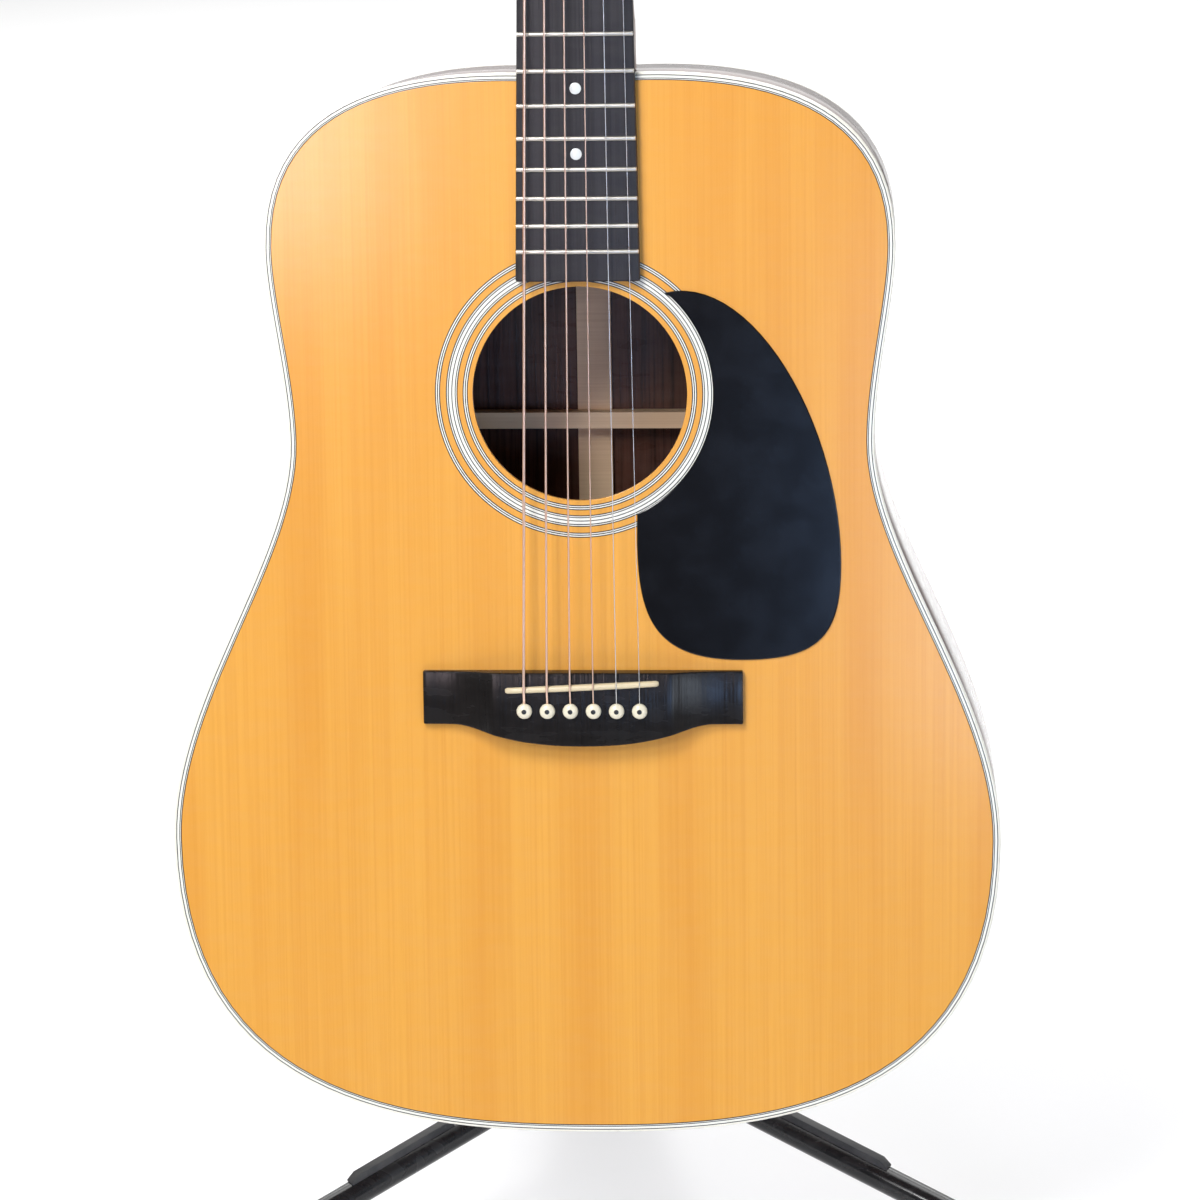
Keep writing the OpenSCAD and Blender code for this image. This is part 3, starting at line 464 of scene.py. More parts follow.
board_ebony = wood("board_ebony", (0.028, 0.026, 0.030), (0.012, 0.011, 0.013), (0.036, 0.033, 0.038),
                   "xyz", lines=0.7, bands=0.4, pores=0.5, roughness=0.42, dust=0.02, uneven=0.1,
                   Specular_IOR_Level=0.25)
print("woods made:", [m.name for m in bpy.data.materials if m.node_tree and "grain" in
                      {n.node_tree.name for n in m.node_tree.nodes if n.type == "GROUP"}][:12])

# %% [markdown]
# ## Celluloid, bone, metal, rubber and foam
# The small parts each have their own gloss: ivory-coloured binding, fibre lines, cream bone and
# pins, nickel frets, bronze string windings, chrome tuners, black enamelled steel tube, moulded
# nylon with a fine spark-eroded texture, rubber and closed-cell foam.

# %% Other finishes
ivory = plain("ivory_binding", (0.86, 0.83, 0.72), 0.3, dust=0.03, Coat_Weight=0.4, Coat_Roughness=0.15)
black_line = plain("black_line", (0.012, 0.014, 0.014), 0.35, dust=0.02)
white_line = plain("white_line", (0.86, 0.85, 0.76), 0.33, dust=0.03, Coat_Weight=0.3, Coat_Roughness=0.2)
bone = plain("bone", (0.70, 0.59, 0.38), 0.36, dust=0.04)
pin_cream = plain("pin_cream", (0.80, 0.74, 0.56), 0.25, dust=0.03, Coat_Weight=0.3, Coat_Roughness=0.1)
pearl = plain("pearl", (0.72, 0.74, 0.72), 0.18, dust=0.02, Coat_Weight=0.6, Coat_Roughness=0.05)
guard_black = plain("guard_black", (0.002, 0.002, 0.003), 0.15, dust=0.003, uneven=0.03, bump=0.00001,
                    Specular_IOR_Level=0.4)
nickel = plain("nickel_frets", (0.66, 0.63, 0.57), 0.4, dust=0.04, metallic=1.0)
steel = plain("plain_steel", (0.9, 0.9, 0.92), 0.38, dust=0.02, metallic=1.0)
chrome = plain("tuner_chrome", (0.74, 0.75, 0.77), 0.13, dust=0.03, uneven=0.08, metallic=1.0)
enamel = plain("black_enamel", (0.012, 0.012, 0.013), 0.22, dust=0.03, uneven=0.1)
zinc = plain("zinc_pin", (0.5, 0.5, 0.52), 0.3, dust=0.04, metallic=1.0)


def textured(name, colour, roughness, scale, bump, dust, **extra):
    """Moulded or foamed material: the colour handling, with an even fine grain in the bump."""
    skin, tree, shader = new_skin(name, roughness, **extra)
    place = room_place(tree)
    use_handling(tree, shader, place, colour, roughness, dust, 0.1)
    use_bump(tree, shader, noise(tree, place, scale, detail=2.0), bump, 0.8)
    return skin


nylon = textured("moulded_nylon", (0.022, 0.022, 0.023), 0.45, 1500, 0.00008, 0.05)
rubber = textured("rubber", (0.026, 0.026, 0.027), 0.62, 900, 0.0001, 0.08)
strip_rubber = textured("strip_rubber", (0.042, 0.042, 0.043), 0.7, 700, 0.00016, 0.12)
foam = textured("foam", (0.030, 0.030, 0.031), 0.85, 620, 0.0006, 0.1)


def make_bronze():
    skin, tree, shader = new_skin("bronze_winding", 0.3, 1.0)
    place = guitar_place(tree)
    use_handling(tree, shader, place, (0.95, 0.68, 0.55), 0.42, 0.02, 0.05, (0.6, 0.42, 0.32, 1))
    wave = tree.nodes.new("ShaderNodeTexWave")
    wave.bands_direction = "Y"
    wave.inputs["Scale"].default_value = 640.0
    tree.links.new(place, wave.inputs["Vector"])
    use_bump(tree, shader, wave.outputs["Fac"], 0.00003, 0.1)
    return skin


bronze = make_bronze()
print("materials so far:", len(bpy.data.materials))

# %% [markdown]
# ## The outline of the body
# Everything in the sound box follows one line: the outline of the body, four smooth curves from
# the neck down to the tail, mirrored. Each curve is given as a half width and a distance below
# the place where the neck joins. Setting a point in along the outward direction gives the inner
# lines, so the binding, the fibre lines and the spruce all run parallel.

# %% Body outline
SCALE_LEN = 645.2
JOIN_Y = -SCALE_LEN * (1 - 2 ** (-14 / 12))
HOLE_Y = JOIN_Y - 150.8
SOUND_Y = HOLE_Y - 1
BODY_END = 512
BODY_CURVES = [
    ((0, 2), (25, 2), (149, -15), (149, 82)),
    ((149, 82), (149, 108), (139, 144), (139, 175)),
    ((139, 175), (139, 230), (199, 299), (199, 367)),
    ((199, 367), (199, 507), (74, BODY_END), (0, BODY_END)),
]
EDGE_STEPS = 30


def bezier(curve, t):
    a, b, c, d = (Vector(p) for p in curve)
    return (1 - t) ** 3 * a + 3 * (1 - t) ** 2 * t * b + 3 * (1 - t) * t * t * c + t ** 3 * d


def bezier_out(curve, t):
    a, b, c, d = (Vector(p) for p in curve)
    along = (1 - t) ** 2 * (b - a) + 2 * (1 - t) * t * (c - b) + t * t * (d - c)
    return Vector((along.y, -along.x)).normalized()


def half_edge(inset, steps=EDGE_STEPS):
    """The treble half from the neck to the tail, both centre points included."""
    points = []
    for number, curve in enumerate(BODY_CURVES):
        last = number == len(BODY_CURVES) - 1
        for i in range(steps + 1 if last else steps):
            p = bezier(curve, i / steps) - inset * bezier_out(curve, i / steps)
            points.append((p.x, JOIN_Y - p.y))
    return points


def body_edge(inset):
    half = half_edge(inset)
    return half + [(-x, y) for x, y in reversed(half[1:-1])]


def at_height(points, z):
    return [(x, y, z) for x, y in points]


BACK_RADIUS = 4600
DEPTH_NECK = 100
DEPTH_TAIL = 124
back_a = Vector((JOIN_Y - 2, -DEPTH_NECK))
back_b = Vector((JOIN_Y - BODY_END, -DEPTH_TAIL))
chord = back_b - back_a
back_rise = math.sqrt(BACK_RADIUS ** 2 - (chord.length / 2) ** 2)
back_centre = (back_a + back_b) / 2 + back_rise * Vector((chord.y, -chord.x)).normalized()


def back_z(x, y, inside=0.0):
    """Height of the arched back's surface, or of a layer some way inside it."""
    radius = BACK_RADIUS - inside
    return back_centre.y - math.sqrt(radius ** 2 - x * x - (y - back_centre.x) ** 2)


def on_back(points, inside=0.0):
    return [(x, y, back_z(x, y, inside)) for x, y in points]


print("outline points:", len(body_edge(0)), "back at centre", round(back_z(0, HOLE_Y), 2))

# %% [markdown]
# ## The soundboard
# A thin spruce plate with a round hole. The outline and the hole are two closed wires; filling
# between them and extruding gives the plate. A narrower ledge below it runs out under the lines.

# %% Soundboard
PLATE_T = 2.8
HOLE_R = 50.8
BINDING_W = 1.2
BINDING_H = 6
TRIM_W = 3.8
LINE_T = 1.4


def ring_points(radius, steps=128):
    return [(x, y + SOUND_Y) for x, y in circle(radius, steps)]


bm = bmesh.new()
plate(bm, [body_edge(TRIM_W), ring_points(HOLE_R)], -PLATE_T, 0)
rounded(bm, 0.25, 2, 80)
ledge = [at_height(body_edge(inset), z) for inset, z in
         ((BINDING_W, -PLATE_T), (BINDING_W, -LINE_T), (TRIM_W + 0.4, -LINE_T), (TRIM_W + 0.4, -PLATE_T))]
hoop(bm, ledge)
piece("soundboard_spruce", bm, spruce, stands_for=["soundboard"], sharp=20)

# %% [markdown]
# ## Binding and lines
# Ivory-coloured binding guards the corner of the top and of the back. It is scraped round on its
# outer edge, so its section has a small radius there. Inside it run thin black and white fibre
# lines. Each line is a band of its own with a real thickness, made by the same `hoop` helper.

# %% Binding
def corner(outer, inner, low, high, radius):
    """Section of a strip, [inset, height] pairs, with a rounded upper outer corner."""
    turns = [math.radians(a) for a in (0, 22.5, 45, 67.5, 90)]
    arc = [(outer + radius - radius * math.cos(a), high - radius + radius * math.sin(a)) for a in turns]
    return [(outer, low)] + arc + [(inner, high), (inner, low)]


bm = bmesh.new()
hoop(bm, [at_height(body_edge(inset), z) for inset, z in corner(0, BINDING_W, -BINDING_H, 0.04, 0.9)])
piece("top_binding", bm, ivory, stands_for=["bindings"])
bm = bmesh.new()
hoop(bm, [on_back(body_edge(inset), -z) for inset, z in corner(0, BINDING_W, -BINDING_H, 0.04, 0.9)])
piece("back_binding", bm, ivory)

# %% Fibre lines round the top
LINE_WIDTHS = [0.44, 1.06, 0.42, 0.28]


def side_by_side(start, widths):
    """Turn a list of widths into [from, to] pairs that touch."""
    bands = []
    for width in widths:
        bands.append((start, start + width))
        start += width
    return bands


top_lines = side_by_side(BINDING_W, LINE_WIDTHS + [TRIM_W - BINDING_W - sum(LINE_WIDTHS)])
for skin, name, chosen in ((black_line, "top_lines_black", top_lines[0::2]),
                           (white_line, "top_lines_white", top_lines[1::2])):
    bm = bmesh.new()
    for outer, inner in chosen:
        section = ((outer, -LINE_T), (outer, 0.02), (inner, 0.02), (inner, -LINE_T))
        hoop(bm, [at_height(body_edge(inset), z) for inset, z in section])
    piece(name, bm, skin, stands_for=["purfling"])

# %% [markdown]
# ## The rosette
# Three groups of fibre rings are let into the spruce round the hole: five fine rings, then nine
# with two broad white ones, then five again. They stand a few hundredths proud, as old rosettes
# do once the lacquer has sunk around them.

# %% Rosette rings
FIVE = [0.5, 0.45, 0.5, 0.5, 0.5]
NINE = [0.5, 0.4, 0.45, 1.15, 0.45, 1.2, 0.5, 0.4, 0.5]
groups = [(53.1, FIVE), (57.95, NINE), (66.25, FIVE)]
black_rings, white_rings = [], []
for start, widths in groups:
    bands = side_by_side(start, widths)
    black_rings += bands[0::2]
    white_rings += bands[1::2]
for skin, name, bands in ((black_line, "rosette_black", black_rings),
                          (white_line, "rosette_white", white_rings)):
    bm = bmesh.new()
    for inner, outer in bands:
        section = ((inner, -0.6), (inner, 0.03), (outer, 0.03), (outer, -0.6))
        hoop(bm, [at_height(ring_points(radius), z) for radius, z in section])
    piece(name, bm, skin, stands_for=["rosette"])

# %% [markdown]
# ## Sides
# Two thin boards of rosewood are bent to the outline and meet at the tail. Each is a section of
# four corners carried round half of the outline; its lower edge follows the arched back.

# %% Sides
SIDE_T = 2.0
for side, name, node in ((1, "side_treble", "rim_treble"), (-1, "side_bass", "rim_bass")):
    rings = []
    for (xo, yo), (xi, yi) in zip(half_edge(0.05), half_edge(SIDE_T)):
        xo, xi = max(xo, 0), max(xi, 0)
        low = back_z(xo, yo) + BINDING_H - 0.05
        rings.append([(side * xo, yo, -BINDING_H + 0.05), (side * xo, yo, low / 2 - BINDING_H / 2),
                      (side * xo, yo, low), (side * xi, yi, low), (side * xi, yi, -PLATE_T)])
    bm = bmesh.new()
    loft(bm, rings)
    piece(name, bm, rosewood_side, stands_for=[node])

# %% [markdown]
# ## The arched back
# The back is part of a very large sphere. One outline is shrunk towards a point inside it in
# steps, and every step is dropped onto the sphere, which gives a smooth arched skin. A decorated
# strip of small blocks runs down the joint of its two halves.

# %% Back plate
SHRINK = [1 - (i / 14) ** 1.15 for i in range(14)]
heart = Vector((0, JOIN_Y - 250))


def shrunk(points, share):
    return [tuple(heart + share * (Vector(p) - heart)) for p in points]


edge = body_edge(BINDING_W)
outside = [on_back(shrunk(edge, share), 0) for share in SHRINK]
inside = [on_back(shrunk(edge, share), PLATE_T) for share in reversed(SHRINK)]
bm = bmesh.new()
loft(bm, list(reversed(outside)) + list(reversed(inside)))
piece("back_rosewood", bm, rosewood, stands_for=["back_plate"])

# %% Back strip
STRIP_HALF = 3.2
WHITE_HALF = 2.4
BLOCKS_HALF = 1.9
STRIP_SUNK = 0.5
strip_y = [JOIN_Y - 9 - i * 2.5 for i in range(199)]
black_spans = [(-STRIP_HALF, -WHITE_HALF), (WHITE_HALF, STRIP_HALF)]
white_spans = [(-WHITE_HALF, -BLOCKS_HALF), (BLOCKS_HALF, WHITE_HALF)]
for skin, name, spans in ((black_line, "back_strip_black", black_spans),
                          (white_line, "back_strip_white", white_spans)):
    bm = bmesh.new()
    for left, right in spans:
        rows = []
        for y in strip_y:
            out = back_z(0, y) - 0.05
            rows.append([(left, y, out + STRIP_SUNK), (left, y, out), (right, y, out),
                         (right, y, out + STRIP_SUNK)])
        loft(bm, rows)
    piece(name, bm, skin)


def make_marquetry():
    skin, tree, shader = new_skin("marquetry", 0.34, Coat_Weight=0.5, Coat_Roughness=0.15)
    place = guitar_place(tree)
    # Slanted blocks: a stripe pattern whose slant turns over at the centre line
    slant = reorder(tree, place, "Xyz")
    turn = tree.nodes.new("ShaderNodeMapping")
    turn.inputs["Rotation"].default_value = (0, 0, math.radians(40))
    tree.links.new(slant, turn.inputs["Vector"])
    wave = tree.nodes.new("ShaderNodeTexWave")
    wave.bands_direction = "Y"
    wave.inputs["Scale"].default_value = 125.0
    tree.links.new(turn.outputs["Vector"], wave.inputs["Vector"])
    blocks = ramp(tree, wave.outputs["Fac"], 0.42, 0.58)
    colour = blend_colours(tree, blocks, (0.62, 0.42, 0.2, 1), (0.05, 0.028, 0.02, 1))
    use_handling(tree, shader, place, colour, 0.34, 0.02)
    return skin


bm = bmesh.new()
rows = []
for y in strip_y:
    out = back_z(0, y) - 0.04
    rows.append([(-BLOCKS_HALF, y, out + STRIP_SUNK), (-BLOCKS_HALF, y, out), (BLOCKS_HALF, y, out),
                 (BLOCKS_HALF, y, out + STRIP_SUNK)])
loft(bm, rows)
piece("back_strip_blocks", bm, make_marquetry())

# %% [markdown]
# ## Inside the box
# The braces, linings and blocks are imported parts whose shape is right, so they keep their shape
# and only get their wood. The bare inner face of the back shows through the soundhole with its
# pale centre strip and one brace.

# %% Inside woods
INSIDE = {"x_brace": brace_spruce, "top_braces": brace_spruce, "back_braces": brace_spruce,
          "linings": cedar, "neck_block": mahogany, "tail_block": mahogany,
          "bridge_plate": maple, "truss_rod": zinc, "tail_graft": white_line}
for node, skin in INSIDE.items():
    slots = nodes[node].data.materials
    slots.clear()
    slots.append(skin)
print("wood given to", len(INSIDE), "packed parts")

# %% [markdown]
# ## The neck
# The neck is a rounded section that grows a little deeper from the nut to the body and then
# swells into the heel. One function gives the section, and `loft` carries it down the neck. The
# headstock is a flat slab set back at an angle, cut from the same mahogany.

# %% Neck shaft and heel
NUT_HALF = 21.45
BOARD_SLOPE = (54 - 42.9) / SCALE_LEN
HEEL_START = -283
HEEL_LEN = 52
HEEL_END = HEEL_START - HEEL_LEN
HEEL_LOW = DEPTH_NECK - 4
LOW_NUT = 14
LOW_HEEL = 17
SECTION_STEPS = 20


def board_half(y):
    return NUT_HALF - y * BOARD_SLOPE


def neck_section(y, half, top, low, heel):
    """A rounded section of the neck; heel grows from 0 to 1 as it turns into the heel."""
    right = []
    for i in range(SECTION_STEPS + 1):
        a = math.pi / 2 * i / SECTION_STEPS
        wide = max(math.cos(a), 0) ** (1 + 0.5 * heel)
        x = 8 * heel + (half - 8 * heel) * wide
        right.append((x, y, top - (top + low) * math.sin(a) ** (1 - 0.15 * heel)))
    return right + [(-x, y, z) for x, y, z in reversed(right)]


sections = [neck_section(19, 20.5, -4.5, 17.2, 0.02), neck_section(9, 21.2, -1.6, 15.4, 0.02),
            neck_section(1, NUT_HALF, 0, LOW_NUT, 0.02)]
for i in range(7):
    y = -20 - i * 43
    sections.append(neck_section(y, board_half(y), 0, LOW_NUT + i * (LOW_HEEL - LOW_NUT) / 6, 0.02))
for step in range(1, 15):
    b = math.radians(6 * step)
    y = HEEL_START - HEEL_LEN * math.sin(b)
    low = LOW_HEEL + (HEEL_LOW - LOW_HEEL) * (1 - math.cos(b))
    sections.append(neck_section(y, board_half(y), 0, low, math.sin(b) ** 2 * 0.98 + 0.02))
sections.append(neck_section(HEEL_END, board_half(HEEL_END), 0, HEEL_LOW, 1))
sections.append(neck_section(JOIN_Y + 0.3, board_half(JOIN_Y), 0, HEEL_LOW, 1))
bm = bmesh.new()
loft(bm, sections)
piece("neck_shaft", bm, mahogany, stands_for=["neck"], sharp=50)

# %% Headstock
HEAD_LEN = 157
HEAD_T = 15
HEAD_HALF = 34.5
CROWN_H = 8
VENEER_T = 2
FLARE_R = 9


def head_outline(grow=0.0):
    flare = [math.radians(180 - 90 * i / 10) for i in range(11)]
    side = [(NUT_HALF + grow, -3)]
    side += [(NUT_HALF + FLARE_R + (FLARE_R - grow) * math.cos(a), (FLARE_R - grow) * math.sin(a))
             for a in flare]
    side += [(31.45 + grow, 12 - grow), (HEAD_HALF + grow, HEAD_LEN - CROWN_H)]
    side += [((HEAD_HALF + grow) * (1 - i / 8), HEAD_LEN - CROWN_H * (1 - i / 8) ** 2 + grow)
             for i in range(1, 9)]
    return side + [(-x, v) for x, v in reversed(side[:-1])]


bm = bmesh.new()
plate(bm, [head_outline()], -HEAD_T, -VENEER_T)
rounded(bm, 0.9, 3)
piece("headstock", bm, mahogany, place=HEAD)


def clipped(points, lowest):
    """Cut an outline off square below a line."""
    return [(x, max(v, lowest)) for x, v in points]


bm = bmesh.new()
plate(bm, [clipped(head_outline(), 0.6)], -VENEER_T, 0)
bmesh.ops.remove_doubles(bm, verts=bm.verts, dist=0.01)
rounded(bm, 0.5, 2)
piece("headstock_face", bm, rosewood, place=HEAD, stands_for=["headstock_veneer"])

# %% Heel cap
HEEL_CAP_R = 13
bm = bmesh.new()
heel_line = [(-HEEL_CAP_R, JOIN_Y + 0.5), (HEEL_CAP_R, JOIN_Y + 0.5), (HEEL_CAP_R, JOIN_Y + 8)]
cap_turns = [math.pi * i / 16 for i in range(17)]
heel_line += [(HEEL_CAP_R * math.cos(a), JOIN_Y + 9 + HEEL_CAP_R * math.sin(a)) for a in cap_turns]
plate(bm, [heel_line], -HEEL_LOW - 2, -HEEL_LOW)
rounded(bm, 0.5, 2)
piece("heel_cap_ivory", bm, ivory, stands_for=["heel_cap"])

# %% [markdown]
# ## The fingerboard and its frets
# The ebony board is arched across its width. The frets are nickel wire with a crowned top, pressed
# across the board at distances that shrink by the twelfth root of two, and their ends are filed
# over at a slant so that they don't catch the hand.

# %% Fingerboard
BOARD_T = 6.5
BOARD_RADIUS = 406
BOARD_END = -456


def board_drop(x):
    return x * x / (2 * BOARD_RADIUS)


def board_section(y, trim=0.0):
    half = board_half(y) - trim
    spread = [half - 0.8 - (2 * half - 1.6) * i / 16 for i in range(17)]
    top = BOARD_T - board_drop(half) - trim
    ring = [(-half, y, 0.0), (half, y, 0.0), (half, y, top - 0.8), (half - 0.25, y, top - 0.22)]
    ring += [(x, y, BOARD_T - board_drop(x) - trim) for x in spread]
    return ring + [(-half + 0.25, y, top - 0.22), (-half, y, top - 0.8)]


bm = bmesh.new()
loft(bm, [board_section(y) for y in (0, -150, -300, BOARD_END + 0.7)] + [board_section(BOARD_END, 0.6)])
piece("fingerboard_ebony", bm, board_ebony, stands_for=["fingerboard"])

# %% Frets
FRETS = 20
CROWN = [(-1.1, 0), (-1.02, 0.42), (-0.72, 0.82), (-0.28, 1.07), (0.28, 1.07), (0.72, 0.82), (1.02, 0.42),
         (1.1, 0), (0.4, -0.5), (-0.4, -0.5)]


def fret_y(number):
    return -SCALE_LEN * (1 - 2 ** (-number / 12))


bm = bmesh.new()
for number in range(1, FRETS + 1):
    half = board_half(fret_y(number)) - 0.35
    across = [half * (1 - 2 * i / 12) for i in range(13)]
    stations = [(half + 0.25, 0.25)] + [(x, 1.0) for x in across] + [(-half - 0.25, 0.25)]
    rings = []
    for x, share in stations:
        base = BOARD_T - board_drop(x)
        rings.append([(x, fret_y(number) + y * (0.4 + 0.6 * share), base + h * share) for y, h in CROWN])
    loft(bm, rings)
piece("fret_wires", bm, nickel, stands_for=["frets"])

# %% Position dots
bm = bmesh.new()
for fret, aside in ((5, 0), (7, 0), (9, 0), (12, -12), (12, 12), (15, 0), (17, 0)):
    middle = (fret_y(fret) + fret_y(fret - 1)) / 2
    face = BOARD_T - board_drop(aside)
    turned(bm, [(0, -1), (2.7, -1), (2.7, 0.0), (2.6, 0.06), (0, 0.08)],
           Matrix.Translation((aside, middle, face)), 40)
piece("pearl_dots", bm, pearl, stands_for=["position_dots"])

# %% [markdown]
# ## The nut
# A bone bar across the end of the board. It slopes down towards the headstock and carries one
# filed slot for each string.

# %% Nut
STRING_R = [0.15, 0.2, 0.3, 0.41, 0.53, 0.67]
NUT_PITCH = 7.3
NUT_H = 8.9
NUT_REST = 7.9
slots_at = [(NUT_PITCH * (2.5 - i), STRING_R[i]) for i in range(6)]
tops = [(-NUT_HALF, NUT_H - 0.9), (-NUT_HALF + 0.5, NUT_H - 0.5)]
for x, r in reversed(slots_at):
    seat = NUT_REST - board_drop(x)
    tops += [(x - r - 0.35, NUT_H - 0.45), (x - r, seat + r), (x, seat), (x + r, seat + r),
             (x + r + 0.35, NUT_H - 0.45)]
tops += [(NUT_HALF - 0.5, NUT_H - 0.5), (NUT_HALF, NUT_H - 0.9)]
rings = []
for x, top in tops:
    rings.append([(x, 0.05, 0.0), (x, 0.05, top - 0.3), (x, 0.4, top), (x, NUT_T - 2, top),
                  (x, NUT_T - 0.3, top - 1.4), (x, NUT_T, top - 1.9), (x, NUT_T, 0.0)])
bm = bmesh.new()
loft(bm, rings)
piece("nut_bone", bm, bone, stands_for=["nut"])

# %% [markdown]
# ## The bridge
# The bridge is a block of ebony with a belly behind the pins. Its two wings are scooped thin with
# a round plane, so its height depends on how far out you are. Sections taken across it at many
# stations give both the belly and the scoop, and each section has its top edges broken.

# %% Bridge
BRIDGE_TOP = -133.4
BRIDGE_LOW = -159.2
BRIDGE_HALF = 76.4
BRIDGE_H = 9
WING_H = 3.5
SCOOP_R = 69
BELLY = ((62, BRIDGE_LOW), (48, -159.4), (40, -169.1), (0, -169.1))


def bridge_height(x):
    inward = 70 - abs(x)
    if inward <= 0:
        return WING_H
    scooped = WING_H + SCOOP_R - math.sqrt(max(0.0, SCOOP_R ** 2 - inward * inward))
    return min(BRIDGE_H, scooped)


def bridge_section(x, low, trim=0.0):
    top, bottom, high = HOLE_Y + BRIDGE_TOP - trim, HOLE_Y + low + trim, bridge_height(x) - trim
    ring = [(x, top, 0.0), (x, top, high - 0.9), (x, top - 0.12, high - 0.45), (x, top - 0.45, high - 0.12),
            (x, top - 0.9, high)]
    ring += [(x, bottom + 0.9, high), (x, bottom + 0.45, high - 0.12), (x, bottom + 0.12, high - 0.45),
             (x, bottom, high - 0.9), (x, bottom, 0.0)]
    return ring


half_line = [(BRIDGE_HALF, BRIDGE_LOW, 0.5), (BRIDGE_HALF - 0.2, BRIDGE_LOW, 0.15)]
half_line += [(x, BRIDGE_LOW, 0.0) for x in (75.6, 73, 70, 68, 66, 64)]
half_line += [(*bezier(BELLY, i / 36), 0.0) for i in range(37)]
whole = half_line + [(-x, low, trim) for x, low, trim in reversed(half_line[:-1])]
bm = bmesh.new()
loft(bm, [bridge_section(x, low, trim) for x, low, trim in whole])
piece("bridge_ebony", bm, ebony, stands_for=["bridge"], sharp=24)

# %% [markdown]
# ## Saddle and pins
# The saddle is a bone bar let into the bridge at a slight slant, crowned to match the board. The
# pins are turned, cream with a black dot, and each holds the ball end of one string.

# %% Saddle
SADDLE_Y = HOLE_Y - 140.2
SADDLE_TOP = 12
SKEW = math.radians(2.78)
slant = Matrix.Translation((0, SADDLE_Y, 0)) @ Matrix.Rotation(SKEW, 4, "Z")
stations = [(-37, 2.4, 0.95), (-36.6, 1.0, 1.25), (-35.6, 0.3, 1.45)]
stations += [(x, 0.0, 1.45) for x in range(-33, 34, 3)]
stations += [(-x, drop, half) for x, drop, half in reversed(stations[:3])]
rings = []
for x, drop, half in stations:
    top = SADDLE_TOP - board_drop(x) - drop
    rings.append([(x, half, 7), (x, half, top - 1.3), (x, half * 0.8, top - 0.5),
                  (x, half * 0.35, top - 0.06), (x, -half * 0.35, top - 0.06),
                  (x, -half * 0.8, top - 0.5), (x, -half, top - 1.3), (x, -half, 7)])
bm = bmesh.new()
loft(bm, rings)
bmesh.ops.transform(bm, matrix=slant, verts=bm.verts)
piece("saddle_bone", bm, bone, stands_for=["saddle"], sharp=60)

# %% Bridge pins
PIN_Y = HOLE_Y - 151.7
PIN_PITCH = 11
PIN_HEAD_R = 3.7
SEAT = BRIDGE_H + 0.05
head = [(PIN_HEAD_R * math.cos(math.radians(15 * i)), SEAT + 0.9 + 2.1 * math.sin(math.radians(15 * i)))
        for i in range(6)]
shank = [(0, -9), (1.6, -9), (2.3, -7), (2.5, -4), (2.5, SEAT), (PIN_HEAD_R - 0.3, SEAT),
         (PIN_HEAD_R, SEAT + 0.3)]
DOT_R = 1.15
dot_z = SEAT + 0.9 + 2.1 * math.sin(math.acos(DOT_R / PIN_HEAD_R))
pins, dots = bmesh.new(), bmesh.new()
for i in range(6):
    at = Matrix.Translation((PIN_PITCH * (i - 2.5), PIN_Y, 0))
    turned(pins, shank + head + [(DOT_R, dot_z), (0, dot_z + 0.1)], at, 36)
    turned(dots, [(0, dot_z - 0.5), (DOT_R, dot_z - 0.5), (DOT_R, dot_z + 0.02),
                  (DOT_R * 0.6, dot_z + 0.12), (0, dot_z + 0.16)], at, 24)
piece("bridge_pin_set", pins, pin_cream, stands_for=["bridge_pins"])
piece("bridge_pin_dots", dots, black_line)

# %% [markdown]
# ## Strings
# Each string comes up out of the bridge just in front of its pin, bends over the saddle, runs to
# the nut and winds three turns round its post. `tube` sweeps a circle along that path. The four
# low strings are wound with bronze wire; the two high ones are plain steel.

# %% Strings
POST_X = 19.5
POST_R = 3
COIL_TURNS = 3
COIL_STEPS = 24
SIDE = [1, 1, 1, -1, -1, -1]
POST_V = [32, 72, 112, 112, 72, 32]


def head_point(x, v, w):
    c, s = math.cos(HEAD_TILT), math.sin(HEAD_TILT)
    return Vector((x, NUT_T + v * c + w * s, HEAD_RISE - v * s + w * c))


def string_path(i):
    r = STRING_R[i]
    x = PIN_PITCH * (2.5 - i)
    nut_x = NUT_PITCH * (2.5 - i)
    nut_z = NUT_REST + r + 0.05 - board_drop(nut_x)
    wind = POST_R + 0.35 + r
    path = [Vector((x, PIN_Y + 3.25, -6)), Vector((x, PIN_Y + 3.25, BRIDGE_H + 0.2)),
            Vector((x, PIN_Y + 4.15, BRIDGE_H + 0.95)),
            Vector((x, SADDLE_Y + x * math.tan(SKEW), SADDLE_TOP + r + 0.1 - board_drop(x))),
            Vector((nut_x, 0, nut_z)), Vector((nut_x, NUT_T, nut_z))]
    for k in range(COIL_TURNS * COIL_STEPS + 1):
        a = math.tau * k / COIL_STEPS
        path.append(head_point(SIDE[i] * (POST_X - wind * math.cos(a)), POST_V[i] + wind * math.sin(a),
                               4 + (COIL_TURNS - k / COIL_STEPS) * 2.1 * r))
    return path


for name, skin, chosen in (("wound_strings", bronze, (2, 3, 4, 5)), ("plain_strings", steel, (0, 1))):
    bm = bmesh.new()
    for i in chosen:
        tube(bm, string_path(i), STRING_R[i], 14)
    piece(name, bm, skin,
          stands_for=["strings"], sharp=70)

# %% [markdown]
# ## Pickguard
# A sheet of black celluloid glued beside the soundhole, cut round the rosette. Its edge is bevelled
# with a scraper, so a thin bright line shows where it catches the light.

